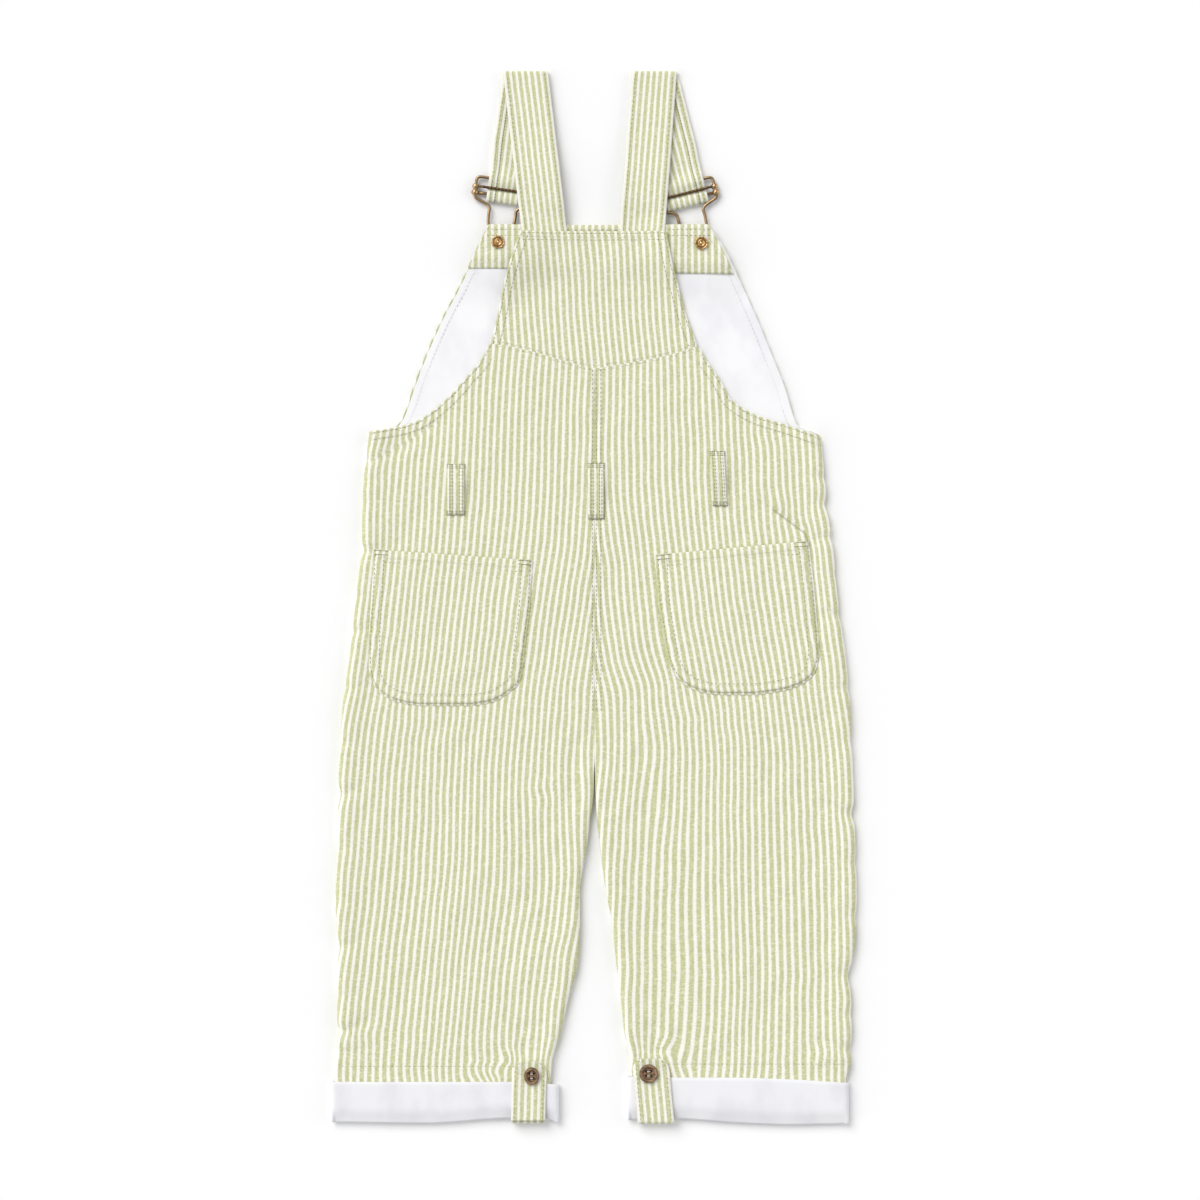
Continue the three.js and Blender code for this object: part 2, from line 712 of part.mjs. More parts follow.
// Buckle parts in the buckle's own frame: +Y up the strap, origin at the end of its loop
function buckleWire() {
  const corner = 2.2;
  const half = [
    [0, BAR_TOP, FRAME_Z],
    [FRAME_HALF / 2, BAR_TOP, FRAME_Z],
    [FRAME_HALF - corner, BAR_TOP, FRAME_Z],
    [FRAME_HALF - corner * 0.3, BAR_TOP - corner * 0.3, FRAME_Z],
    [FRAME_HALF, BAR_TOP - corner, FRAME_Z],
    [FRAME_HALF, BAR_TOOTHED, FRAME_Z],
    ...HOOK.map((h) => [h.across, h.along, h.z]),
  ];
  const eyeZ = HOOK[HOOK.length - 1].z;
  for (const angle of [10, -25, -60].map(radians))
    half.push([HOOK_EYE * Math.cos(angle), BUTTON_ALONG + HOOK_EYE * Math.sin(angle), eyeZ]);
  const low = [0, BUTTON_ALONG - HOOK_EYE, eyeZ];
  const mirrored = half.slice(1).reverse().map(([x, y, z]) => [-x, y, z]);
  const points = [...half, low, ...mirrored].map((p) => new THREE.Vector3(...p));
  return geometryOf(solidOf(wireLoop(points, WIRE / 2, 6, 60)));
}

function buckleSlide() {
  const bar = (points, radius) => {
    const places = points.map((p) => new THREE.Vector3(...p));
    const curve = new THREE.CatmullRomCurve3(places, false, "centripetal");
    const section = new THREE.Shape().absarc(0, 0, radius, 0, 2 * Math.PI);
    return solidOf(new THREE.ExtrudeGeometry(section, {
      extrudePath: curve, steps: 2 * points.length, bevelEnabled: false, curveSegments: 4,
    }));
  };
  const reach = FRAME_HALF - 1.7;
  const rise = 0.8;
  const low = FRAME_Z + 0.7;
  const raised = [-reach + rise, 0, reach - rise].map((x) => [x, BAR_TOOTHED, TOOTHED_Z]);
  let slide = bar([[-reach, BAR_TOOTHED, low], ...raised, [reach, BAR_TOOTHED, low]], TOOTHED_RADIUS);
  slide = slide.add(bar([-reach, 0, reach].map((x) => [x, BAR_LOW, FRAME_Z]), PLAIN_RADIUS));
  const hole = WIRE / 2 + GAP;
  const sleeve = [
    [hole, 0.9], [hole + 0.7, 0.9], [hole + 0.95, BAR_LOW], [hole + 0.5, 3.6], [hole + 0.5, 5.2],
    [hole + 0.95, BAR_TOOTHED], [hole + 0.7, 7.9], [hole, 7.9], [hole, 0.9],
  ].map(([r, y]) => new THREE.Vector2(r, y));
  for (const sign of [-1, 1]) {
    const tube = new THREE.LatheGeometry(sleeve, 10).translate(sign * FRAME_HALF, 0, FRAME_Z);
    slide = slide.add(solidOf(tube));
  }
  for (const sign of [-1, 1]) {
    const wire = new THREE.CylinderGeometry(hole, hole, 12, 10);
    slide = slide.subtract(solidOf(wire.translate(sign * FRAME_HALF, 4.4, FRAME_Z)));
  }
  return geometryOf(slide);
}

function turned(profile, segments) {
  const points = profile.map(([r, z]) => new THREE.Vector2(r, z));
  return new THREE.LatheGeometry(points, segments).rotateX(Math.PI / 2);
}

const bibButton = () => turned([
  [0, 0], [8, 0], [8.5, 0.4], [8.5, 1.0], [8, CAP_HEIGHT], [2.4, CAP_HEIGHT],
  [2.4, BIB_LIFT - GAP], [0, BIB_LIFT - GAP],
], 20);

const tackBack = () => turned([
  [0, 0], [3.9, 0], [4.15, 0.3], [4.0, 0.8], [3.2, 1.0], [2.6, 0.7], [1.6, 0.7], [1.0, 1.1],
  [0, 1.1],
], 12);

function cuffButton(size) {
  const r = size / 2;
  let button = solidOf(turned([
    [0, 0], [r * 0.8, 0], [r, 0.9], [r, 1.7], [r * 0.86, 2.2], [r * 0.68, 2.0], [r * 0.56, 1.4],
    [0, 1.4],
  ], 16));
  const { radius, offset } = BUTTON_HOLE;
  for (const [sx, sy] of [[1, 1], [1, -1], [-1, 1], [-1, -1]]) {
    const hole = new THREE.CylinderGeometry(radius, radius, 6, 8).rotateX(Math.PI / 2);
    button = button.subtract(solidOf(hole.translate(sx * offset, sy * offset, 1)));
  }
  return geometryOf(button);
}

// A cuff: a ring round the flattened end of the leg, with an outer wall, a rolled bottom edge
// and an inner wall that meets the leg. Offsets are from the leg's outer face.
function cuff(side) {
  const table = CUFFS[side];
  const x1 = table[0].x + HEM_ROLL + CUFF_WALL;
  const x2 = table[table.length - 1].x - HEM_ROLL - CUFF_WALL;
  const middle = CUFF_WALL - CUFF_TURN;
  const section = [[CUFF_WALL, 0, 1], [CUFF_WALL, 0, 0]];
  for (const angle of [-35, -70, -110, -145].map(radians))
    section.push([middle + CUFF_TURN * Math.cos(angle), CUFF_TURN * Math.sin(angle), 0]);
  section.push([-CLOTH, 0, 0], [-CLOTH, 0, 2], [0, 0, 2], [0, 0.5, 0], [GAP, 0.5, 0], [GAP, 0, 1]);
  const ring = [];
  const [straight, bent] = [6, 5];
  for (const [from, to, way] of [[x1, x2, 1], [x2, x1, -1]]) {
    for (let k = 0; k < straight; k++) ring.push([mix(from, to, k / straight), 0, -way]);
    for (let k = 0; k < bent; k++) {
      const turned = (k * Math.PI) / bent;
      ring.push([to, way * Math.sin(turned), -way * Math.cos(turned)]);
    }
  }
  const positions = [];
  for (const [x, nx, nz] of ring)
    for (const [off, dy, place] of section) {
      const px = x + nx * (HEM_ROLL + off);
      const bottom = along(table, "x", px, "bottom") + CUFF_TURN;
      const places = [bottom, along(table, "x", px, "top"), CUFF_INNER_Y];
      positions.push(px, places[place] + dy, HEM_MIDDLE + nz * (HEM_ROLL + off));
    }
  const [n, m] = [ring.length, section.length];
  const index = [];
  for (let a = 0; a < n; a++)
    for (let b = 0; b < m; b++) {
      const [c, d] = [(a + 1) % n, (b + 1) % m];
      index.push(a * m + b, c * m + d, a * m + d, a * m + b, c * m + b, c * m + d);
    }
  const geometry = new THREE.BufferGeometry();
  geometry.setAttribute("position", new THREE.Float32BufferAttribute(positions, 3));
  geometry.setIndex(index);
  geometry.computeVertexNormals();
  return geometry;
}

// Highest place of the leg or cuff under a tab
function underTab(x, y, side) {
  const edge = along(CUFFS[side], "x", x, "top");
  return mix(backTop(x, y, side), CUFF_TOP_Z, smooth(edge + 6, edge + 0.5, y));
}

function cuffTab(side) {
  const t = TABS[side];
  const half = CLOTH / 2;
  const bottom = Math.min(...[-0.5, 0, 0.5].map((w) =>
    along(CUFFS[side], "x", t.xBottom + w * t.width, "bottom")));
  const bend = CUFF_TURN + GAP + half;
  const bendZ = HEM_MIDDLE + HEM_ROLL - CLOTH + CUFF_TURN;
  const bendY = bottom + CUFF_TURN - TAB_SLACK;
  const path = [];
  const lean = (y) => mix(t.xTop, t.xBottom, clamp01((t.top - y) / (t.top - bottom)));
  const heightOn = (y) => {
    const across = [-0.5, -0.25, 0, 0.25, 0.5].map((w) => underTab(lean(y) + w * t.width, y, side));
    return Math.max(...across) + GAP + half;
  };
  const topZ = bendZ + bend;
  for (const row of TAB_SHAPE) {
    const y = t.top - row.drop;
    path.push({ x: lean(y), y, z: Math.min(heightOn(y), topZ), width: t.width * row.share });
  }
  const turned = (y, z) => path.push({ x: t.xBottom, y, z, width: t.width });
  for (const angle of [90, 60, 30, 0, -30, -60, -90].map(radians))
    turned(bendY - bend * Math.cos(angle), bendZ + bend * Math.sin(angle));
  turned(bendY + TAB_TAIL, bendZ - bend);
  return strip([...path].reverse(), () => ({ x: 1, y: 0 }));
}

const liningLines = [WAIST_SEAM_Y + 2, ...BIB_LINES, BIB_TOP_Y - 1];
const facingLines = [...BIB_LINES.filter((y) => y >= FACING_BOTTOM_Y), BIB_TOP_Y - 1.6];
addPiece("front_bib", frontBib(), "stripe");
addPiece("bib_lining", bibInside(liningLines, 1.2, 1), "white");
addPiece("bib_facing", bibInside(facingLines, 1.8, 2), "stripe");
addPiece("back_yoke", yoke(), "stripe");

for (const side of ["left", "right"]) {
  const s = SIDES[side];
  addPiece(`front_leg_${side}`, frontLeg(side), "stripe");
  addPiece(`back_${side}`, backPanel(side), "stripe");
  addPiece(`back_pocket_${side}`, pocket(side), "stripe");
  addPiece(`strap_${side}`, strap(side), "stripe");

  const buckle = new THREE.Group();
  const axis = new THREE.Vector2(...s.fold).sub(new THREE.Vector2(...s.end)).normalize();
  const shift = s.sign * FRAME_SHIFT;
  buckle.position.set(s.end[0] + shift * axis.y, s.end[1] - shift * axis.x, 0);
  buckle.rotation.z = Math.atan2(-axis.x, axis.y);
  garment.add(buckle);
  addPiece(`buckle_wire_${side}`, buckleWire(), "metal", buckle);
  addPiece(`buckle_slide_${side}`, buckleSlide(), "metal", buckle);

  addPiece(`bib_button_${side}`, bibButton(), "metal").position.set(...s.button, 0);
  addPiece(`tack_back_${side}`, tackBack(), "copper")
    .position.set(...s.button, BIB_LIFT + 2 * BIB_LAYER + LAYER);

  const t = TABS[side];
  addPiece(`cuff_${side}`, cuff(side), "white");
  addPiece(`cuff_tab_${side}`, cuffTab(side), "stripe");
  addPiece(`cuff_button_${side}`, cuffButton(t.size), "brown")
    .position.set(...t.button, BUTTON_BASE_Z);
}

for (const row of LOOPS) addPiece(`belt_loop_${row.name}`, beltLoop(row), "stripe");

garment.position.set(-MIDDLE[0], -MIDDLE[1], 0);

export default garment;
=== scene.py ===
"""Kids bib overalls laid flat on their front, dressed in striped cloth, sewing and metal."""

import logging
import math
from collections.abc import Sequence
from dataclasses import dataclass, field
from enum import Enum

import bpy
import numpy as np
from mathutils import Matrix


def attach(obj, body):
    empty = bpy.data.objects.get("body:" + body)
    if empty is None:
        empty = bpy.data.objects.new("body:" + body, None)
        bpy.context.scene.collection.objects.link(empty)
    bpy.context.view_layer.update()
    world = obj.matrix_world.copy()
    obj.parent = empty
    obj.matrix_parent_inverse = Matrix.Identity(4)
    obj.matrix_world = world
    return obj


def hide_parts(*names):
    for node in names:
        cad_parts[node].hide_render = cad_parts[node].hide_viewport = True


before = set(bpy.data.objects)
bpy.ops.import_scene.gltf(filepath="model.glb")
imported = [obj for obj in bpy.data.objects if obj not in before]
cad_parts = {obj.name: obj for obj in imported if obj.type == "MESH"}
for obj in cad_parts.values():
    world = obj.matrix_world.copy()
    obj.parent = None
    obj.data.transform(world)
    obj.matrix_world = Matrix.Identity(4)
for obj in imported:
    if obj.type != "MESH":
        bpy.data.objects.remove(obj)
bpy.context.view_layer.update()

Array = np.ndarray
Faces = Sequence[Sequence[int]]
Socket = bpy.types.NodeSocket
Material = bpy.types.Material
Piece = bpy.types.Object
Tree = bpy.types.NodeTree
log = logging.getLogger("overalls")

# Cloth, in millimetres, as in the part's source
CLOTH = 1.0
GAP = 0.3
LAYER = CLOTH + GAP
BIB_LAYER = CLOTH + 0.7
SIDE_MIDDLE = 3.3
SIDE_ROLL = 4.0
HEM_MIDDLE = 3.5
HEM_ROLL = 2.0
HEM_RISE = 1.5
PUFF = 1.2
WAIST_Y = 108.9
WAIST_SEAM_Y = 80.0
CROTCH_Y = -112.0
LEG_END_Y = -333.0
YOKE_TOP_Y = 240.6
BIB_TOP_Y = 244.9
POCKET_EASE = 0.35
FACING_LOW_Y = 216.0
ORIGIN = (0.3, 0.3)

# Hardware
WIRE = 2.0
CAP_HEIGHT = 1.4
BIB_LIFT = CAP_HEIGHT + WIRE + 2 * GAP
LIFT_FLAT = 14.0
LIFT_END = 46.0
STRAP_WIDTH = 29.7
STRAP_IN_BUCKLE = 27.8
STRAP_TAIL = 42.0
FRAME_HALF = 19.8
FRAME_SHIFT = 2.2
BAR_LOW = 2.4
BAR_TOOTHED = 6.4
BAR_TOP = 13.0
FRAME_Z = 2.4
TOOTHED_Z = 4.6
HOOK_EYE = 5.0
BUTTON_ALONG = -28.5
CUFF_INNER_Y = -334.3
CUFF_EASE = 0.2

STRIPE_PITCH = 4.4
SEAM_GAP = 0.012  # between two pieces joined edge to edge
CELL = 1.8  # size of the cloth's mesh cells
FAR = 99.0  # a distance that shows no hem and no seam

# Rows of stitches: distances from the edge, and heights over the cloth
HEM_ROWS = (1.4, 5.8)
SEAM_ROWS = (1.3, 4.2)
POCKET_ROWS = (1.4, 7.2)
LINING_ROW = 6.2
V_SEAM_X = 68.0  # where the armholes meet the V seam
STITCH_LIFT = 0.04
LOOSE_LIFT = 0.1
FRONT_STITCH_Z = 0.16  # over the table


class Side(Enum):
    """Left or right as seen in the picture."""

    LEFT = "left"
    RIGHT = "right"

    @property
    def sign(self) -> int:
        """Minus one on the left, plus one on the right."""
        return -1 if self is Side.LEFT else 1

    @property
    def column(self) -> int:
        """Column of this side in a table of left and right edges."""
        return 0 if self is Side.LEFT else 1


class Curve:
    """Columns of a short table, read on a smooth curve that does not overshoot its rows."""

    def __init__(self, rows: Sequence[Sequence[float]]) -> None:
        """Keep the rows in rising order of their first column.

        Args:
            rows: the place, then the value of each column there.
        """
        table = np.array(sorted(rows), dtype=float)
        self.key, self.values = table[:, 0], table[:, 1:]
        slopes = np.diff(self.values, axis=0) / np.diff(self.key)[:, None]
        before, after = slopes[:-1], slopes[1:]
        same = before * after > 0
        middle = np.where(same, 2 * before * after / np.where(same, before + after, 1), 0)
        self.tangents = np.vstack([slopes[:1], middle, slopes[-1:]])

    def at(self, place: Array | float, column: int = 0) -> Array:
        """Value of a column.

        Args:
            place: where to read, in the first column's unit.
            column: number of the value column.

        Returns:
            The value at each place, held beyond the first and last rows.
        """
        p = np.clip(place, self.key[0], self.key[-1])
        i = np.clip(np.searchsorted(self.key, p, side="right") - 1, 0, len(self.key) - 2)
        width = self.key[i + 1] - self.key[i]
        q = (p - self.key[i]) / width
        v, t = self.values[:, column], self.tangents[:, column]
        near = (2 * q**3 - 3 * q**2 + 1) * v[i] + (q**3 - 2 * q**2 + q) * width * t[i]
        return near + (3 * q**2 - 2 * q**3) * v[i + 1] + (q**3 - q**2) * width * t[i + 1]


def smooth(start: float, end: float, x: Array | float) -> Array:
    """Rise from 0 at start to 1 at end without corners."""
    t = np.clip((np.asarray(x, float) - start) / (end - start), 0, 1)
    return t * t * (3 - 2 * t)


def bell(q: Array | float) -> Array:
    """One at the middle and near nothing beyond two."""
    return np.exp(-np.square(q))


def mix(a: Array | float, b: Array | float, t: Array | float) -> Array:
    """The value between a and b."""
    return a + (b - a) * t


def rolled(q: Array) -> Array:
    """Height of a quarter round at a share of its reach."""
    return np.sqrt(1 - (1 - np.clip(q, 0, 1)) ** 2)


# Outlines: y, left edge, right edge
BODY = Curve([
    (108.9, -148.5, 148.7), (64, -152.9, 153.4), (34, -153.4, 157.2), (0, -157.8, 160.2),
    (-40, -161.5, 165.6), (-70, -165.8, 168.3), (-110, -168.4, 170.2), (-160, -169.4, 171.8),
    (-200, -170.9, 172.8), (-228, -168.9, 171.6), (-250, -169.4, 168.6), (-277, -169.6, 169.6),
    (-305, -170.4, 168.8), (-319, -171.2, 165.6), (-334, -171.2, 165.2),
])
INSEAM = Curve([
    (-112, -0.15, 0.15), (-124, -0.35, 0.3), (-134, -0.9, 0.7), (-145, -2.6, 1.4), (-164, -5, 3.6),
    (-195, -9.6, 7.6), (-215, -9.4, 11.6), (-240, -10.9, 14.2), (-266, -17.5, 17.5),
    (-286, -22.1, 19.5), (-306, -27.8, 23.6), (-319, -28.8, 24.8), (-334, -28.8, 24.8),
])
YOKE = Curve([
    (240.6, -48.8, 47.2), (222, -55.1, 50.6), (205, -60, 55.2), (186, -63.8, 60.5),
    (166.5, -68.3, 67.6),
])
BIB = Curve([
    (244.9, -70.6, 76), (228, -78.4, 86.4), (206, -89, 97.4), (183, -101.2, 107.9),
    (160, -111.5, 117.3), (138, -119.9, 126), (118, -127, 132.1), (112.5, -131, 134.8),
    (109.5, -138, 141), (107.5, -148.3, 148.5),
])
# Armhole and V seam: x, y
BACK_TOP = Curve([
    (-148.5, 108.9), (-132, 111.5), (-118, 115.5), (-104, 124.7), (-92.7, 135.3),
    (-83.5, 145.9), (-75.6, 154.5), (-68.3, 166.7), (-46.3, 163), (-21, 155.9), (0, 151),
    (24.4, 154.4), (52.7, 160.2), (67.8, 164.8), (73.9, 155.8), (82.8, 143.2), (90.1, 130),
    (107.3, 119.5), (129, 112.5), (148.7, 105.3),
])
# Height of the back's outer face down the middle: y, z
LEVEL = Curve([
    (245, 7.3), (222, 7.1), (204, 5.3), (180, 4.9), (100, 4.9), (0, 5.2), (-280, 5.4),
    (-312, 5.5), (-334, 5.5),
])
HEM_TOP_Y = -294.0
HEM_FULL_Y = -313.0

# Side seam puckers: y, bite, reach
PUCKERS = {
    Side.LEFT: [
        (30.4, 1.8, 4), (-23, 1.1, 3), (-60, 0.8, 4), (-130, 1.6, 5), (-231, 1.0, 5),
        (-286, 2.2, 3.6),
    ],
    Side.RIGHT: [
        (60.7, 2.2, 5), (38.9, 1.2, 3), (-12, 1.0, 4), (-143, 2.2, 5), (-250, 1.8, 6),
        (-298, 1.4, 4),
    ],
}

# Smaller pinches of the side seams
PINCHES = {
    Side.LEFT: [
        (90, 0.7, 3.5), (62, 0.5, 3), (0, 0.5, 3), (-95, 0.6, 4), (-165, 0.6, 5),
        (-200, 0.6, 4), (-262, 0.7, 4), (-301, 0.6, 3),
    ],
    Side.RIGHT: [
        (79, 0.8, 3), (15, 0.5, 4), (-60, 0.9, 4), (-95, 0.7, 5), (-175, 0.7, 5),
        (-210, 0.8, 5), (-275, 0.8, 4),
    ],
}


@dataclass(frozen=True)
class Fold:
    """A soft trough in the cloth, or a ridge where its depth is below 0."""

    x1: float
    y1: float
    x2: float
    y2: float
    depth: float
    width: float

    def at(self, x: Array, y: Array) -> Array:
        """How far the cloth is pressed in at each place.

        Args:
            x: places across, in millimetres.
            y: places up the garment.

        Returns:
            Millimetres inwards.
        """
        dx, dy = self.x2 - self.x1, self.y2 - self.y1
        t = np.clip(((x - self.x1) * dx + (y - self.y1) * dy) / (dx * dx + dy * dy), 0, 1)
        off = np.hypot(x - self.x1 - t * dx, y - self.y1 - t * dy)
        return self.depth * bell(off / self.width)


# A sharp crease from the right hip to the pocket's corner, painted into the striped cloth as a dark
# line of shade and a dip in its relief
SHARP_CREASES = [
    ((118, 57.6, 0), (139.4, 41.8, 0)), ((139.4, 41.8, 0), (141.8, 34, 0)),
]
# The back's main creases, as in the part's source
MAIN_FOLDS = [Fold(*row) for row in [
    (-146, 89, -105.9, 113.5, 0.3, 3.5), (114, 61, 135, 46, 0.8, 4),
    (-14.2, -98, -11.6, -136, 0.9, 5), (29.4, -104, 38, -140, 0.9, 5),
    (33.3, -36, 56.4, -64, 0.6, 6), (-118, -96, -96, -150, 0.5, 8), (112, -90, 124, -170, 0.5, 9),
    (-70, -190, -52, -262, 0.5, 8), (64, -200, 82, -270, 0.5, 8),
    (37.3, -284, 44.2, -307, 0.9, 3.5), (54, -288, 51.8, -309, 0.9, 3.5),
    (-48, -284, -44, -307, 0.9, 3.5), (-36, -282, -38, -307, 0.8, 3.5),
    (-84, -302, -57, -313, 0.7, 4),
]]
# Finer creases of the back: ends, depth and half width
FINE_FOLDS = [Fold(*row) for row in [
    (141, 42, 149, -42, 0.45, 2.6), (135, 46, 144, 38, 0.5, 2.4), (-149, 30, -128, 36, 0.5, 2.6),
    (-155, -22, -140, -16, 0.35, 2.6), (-166, -130, -150, -122, 0.4, 3),
    (-166, -231, -153, -225, 0.35, 3), (-166, -286, -148, -279, 0.5, 2.6),
    (-167, -300, -150, -297, 0.3, 2.4), (153, 61, 139, 70, 0.5, 2.6), (155, 39, 143, 36, 0.4, 2.2),
    (168, -143, 150, -136, 0.45, 3), (167, -250, 152, -243, 0.4, 3),
    (166, -296, 148, -292, 0.5, 2.2), (165, -305, 150, -303, -0.35, 2.4),
    (-8, -120, -12, -140, -0.35, 3), (-3, -150, -16, -128, 0.3, 2.5), (3, -118, 12, -140, 0.35, 3),
    (8, -96, 20, -112, 0.4, 4), (46, -112, 54, -150, 0.35, 4), (20, -130, 24, -166, -0.4, 4),
    (-22, -104, -26, -150, -0.3, 5), (-13, -222, -17, -258, 0.5, 1.8),
    (-16, -216, -22, -262, -0.35, 2.2), (-60, -294, -50, -312, 0.55, 1.8),
    (-68, -297, -60, -313, 0.5, 1.6), (-76, -299, -70, -314, 0.45, 1.8),
    (-54, -286, -51, -300, -0.35, 2), (-30, -290, -33, -306, 0.45, 1.8),
    (58, -294, 64, -312, 0.5, 1.8), (66, -298, 72, -313, 0.45, 1.8), (49, -290, 53, -306, -0.4, 2),
    (27, -290, 30, -306, 0.5, 1.8), (76, -302, 82, -313, 0.35, 1.8),
    (114, 59, 139.8, 42, 0.75, 1.7), (139.8, 42, 142, 35, 0.6, 1.7), (142, 35, 147, -22, 0.5, 1.9),
    (-138, 92, -124, 98, 0.25, 1.7), (-124, 98, -108, 112, 0.3, 1.8),
    (27, -297, 46, -299, 0.6, 1.5), (29, -292, 44, -293, 0.45, 1.4),
    (-52, -298, -34, -299, 0.6, 1.5), (-50, -293, -36, -294, 0.4, 1.4),
    (-100, 20, -96, -40, 0.25, 7), (-70, 24, -66, -52, 0.2, 8), (70, 30, 78, -50, 0.22, 8),
    (112, 26, 118, -44, 0.22, 8), (-60, 140, -50, 70, 0.25, 9), (56, 138, 62, 72, 0.25, 9),
    (100, 112, 96, 60, 0.3, 8), (-112, 70, -120, 36, 0.25, 7), (-130, -180, -122, -260, 0.3, 9),
    (-96, -200, -88, -270, -0.25, 10), (-40, -150, -34, -220, 0.3, 8),
    (40, -180, 44, -260, 0.3, 8), (104, -196, 112, -280, 0.3, 9), (140, -180, 148, -230, 0.3, 8),
    (30, 40, 44, -20, 0.25, 9), (-30, 30, -24, -60, 0.25, 9),
]]
# Creases of the hidden front, similar to those of the back
FRONT_FOLDS = [Fold(*row) for row in [
    (-14, -96, -22, -142, 0.7, 6), (16, -98, 30, -146, 0.7, 6), (-70, -120, -50, -170, 0.5, 8),
    (74, -110, 92, -176, 0.5, 8), (-120, -180, -104, -262, 0.45, 9), (56, -210, 68, -286, 0.45, 8),
    (126, -200, 138, -270, 0.45, 9), (-46, -230, -40, -296, 0.5, 7), (-132, 40, -116, -20, 0.4, 8),
    (120, 54, 132, -10, 0.45, 8), (-30, 60, -22, -30, 0.35, 9), (36, 40, 28, -60, 0.35, 9),
    (-90, 66, -80, 20, 0.4, 7), (84, 70, 76, 24, 0.4, 7), (-150, -60, -134, -110, 0.35, 7),
]]


@dataclass(frozen=True)
class Waviness:
    """Long low waves over the cloth, from a fixed seed."""

    seed: int
    height: float
    shortest: float = 26
    longest: float = 90
    count: int = 18

    def at(self, x: Array, y: Array) -> Array:
        """Height of the waves at each place.

        Args:
            x: places across, in millimetres.
            y: places up the garment.

        Returns:
            Millimetres up.
        """
        chance = np.random.default_rng(self.seed)
        total = np.zeros(np.broadcast(x, y).shape)
        for _ in range(self.count):
            length = chance.uniform(self.shortest, self.longest)
            turn, start = chance.uniform(-1.2, 1.2), chance.uniform(0, 2 * math.pi)
            phase = (x * math.cos(turn) + y * math.sin(turn)) * 2 * math.pi / length
            total = total + np.sin(phase + start) * (length / self.longest)
        return self.height * total / math.sqrt(self.count)


BACK_WAVES = Waviness(seed=3, height=0.34)
CRINKLE = Waviness(seed=21, height=0.16, shortest=8, longest=24, count=26)
FRONT_WAVES = Waviness(seed=8, height=0.2)
STRIPE_WAVES = Waviness(seed=5, height=0.9, shortest=60, longest=190, count=12)
STRIPE_WOBBLE = Waviness(seed=31, height=0.24, shortest=12, longest=44, count=26)
WHITE_WAVES = Waviness(seed=12, height=0.3, shortest=22, longest=80)


@dataclass(frozen=True)
class Bulge:
    """A place where the stripes are pushed sideways."""

    x: float
    y: float
    reach_x: float
    reach_y: float
    shift: float

    def at(self, x: Array, y: Array) -> Array:
        """How far to the right the stripes lie at each place."""
        return self.shift * bell((x - self.x) / self.reach_x) * bell((y - self.y) / self.reach_y)


# Where the back's stripes are pulled about: crotch, hips, armholes and tabs
BULGES = [Bulge(*row) for row in [
    (20, -62, 16, 15, 1.5), (40, -57, 14, 10, 1.4), (-7, -128, 5, 20, 2.2),
    (-36, -124, 8, 5, -0.8), (-33, -134, 8, 5, 0.8), (41, -98, 9, 22, 1.0), (22, -98, 8, 22, -0.8),
    (47, -134, 8, 20, 0.9), (31, -134, 7, 20, -0.7), (-16, -60, 9, 18, -0.8),
    (-26, -84, 9, 12, -0.9), (132, 51, 13, 7, -1.1), (143, 28, 7, 10, 1.0), (120, 64, 10, 8, 0.8),
    (-128, 101, 14, 6, 1.1), (-142, 84, 8, 8, -0.8), (-110, 117, 9, 5, 0.8),
    (112, 108, 12, 6, -0.9), (-60, 60, 14, 9, 0.5), (60, 80, 12, 9, -0.5), (14, 20, 9, 10, 0.7),
    (-12, 6, 8, 9, -0.6), (62, -80, 14, 6, 0.8), (88, -84, 12, 6, -0.7), (-120, -84, 14, 7, 0.8),
    (-90, -92, 12, 7, -0.7), (-74, -321, 13, 6, 4.4), (-57, -304, 5, 6, 2.3),
    (-60, -325, 5, 6, -3.0), (-28, -308, 7, 12, -3.2), (-52, -296, 4, 4, -0.7),
    (-66, -313, 4, 3, -1.2), (-46, -298, 5, 9, -1.2), (47, -299, 8, 7, -3.2),
    (58, -308, 7, 6, -1.6), (26, -302, 5, 10, 2.6), (54, -320, 6, 5, 0.8), (74, -318, 11, 6, -0.8),
    (110, -320, 14, 6, -1.0), (-120, -320, 16, 6, 1.1), (-150, -288, 8, 6, -1.1),
    (150, -300, 9, 6, 0.9), (-20, -236, 7, 12, -1.0), (22, -246, 7, 12, 0.9),
]]


@dataclass(frozen=True)
class Jog:
    """A line where the cloth is folded over, so that the stripes on its right are set off."""

    x1: float
    y1: float
    x2: float
    y2: float
    shift: float
    fade: float

    def at(self, x: Array, y: Array) -> Array:
        """How far to the right the stripes lie at each place.

        Args:
            x: places across, in millimetres.
            y: places up the garment.

        Returns:
            Millimetres to the right.
        """
        dx, dy = self.x2 - self.x1, self.y2 - self.y1
        length = math.hypot(dx, dy)
        t = ((x - self.x1) * dx + (y - self.y1) * dy) / length**2
        beyond = ((x - self.x1) * dy - (y - self.y1) * dx) / length
        ends = smooth(-0.15, 0.1, t) * smooth(1.15, 0.9, t)
        return self.shift * smooth(-1.2, 1.2, beyond) * bell(beyond / self.fade) * ends


JOGS = [
    Jog(139.8, 42, 119, 57, 1.3, 8), Jog(146, -20, 140, 42, 1.3, 5),
    Jog(-106, 113, -150, 87, -1.3, 10), Jog(-55, -308, -84, -307, 0.9, 8),
]


def pinched(side: Side, x: Array, y: Array) -> Array:
    """How far to the right the side seam's pinches pull the stripes.

    Args:
        side: which side it is on.
        x: places across, in millimetres.
        y: places up the garment.

    Returns:
        Millimetres to the right.
    """
    out = np.abs(x - BODY.at(y, side.column))
    pull = sum(bite * bell((y - place) / (1.2 * reach))
               for place, bite, reach in PUCKERS[side] + PINCHES[side])
    return -side.sign * 0.8 * pull * bell(out / 9)


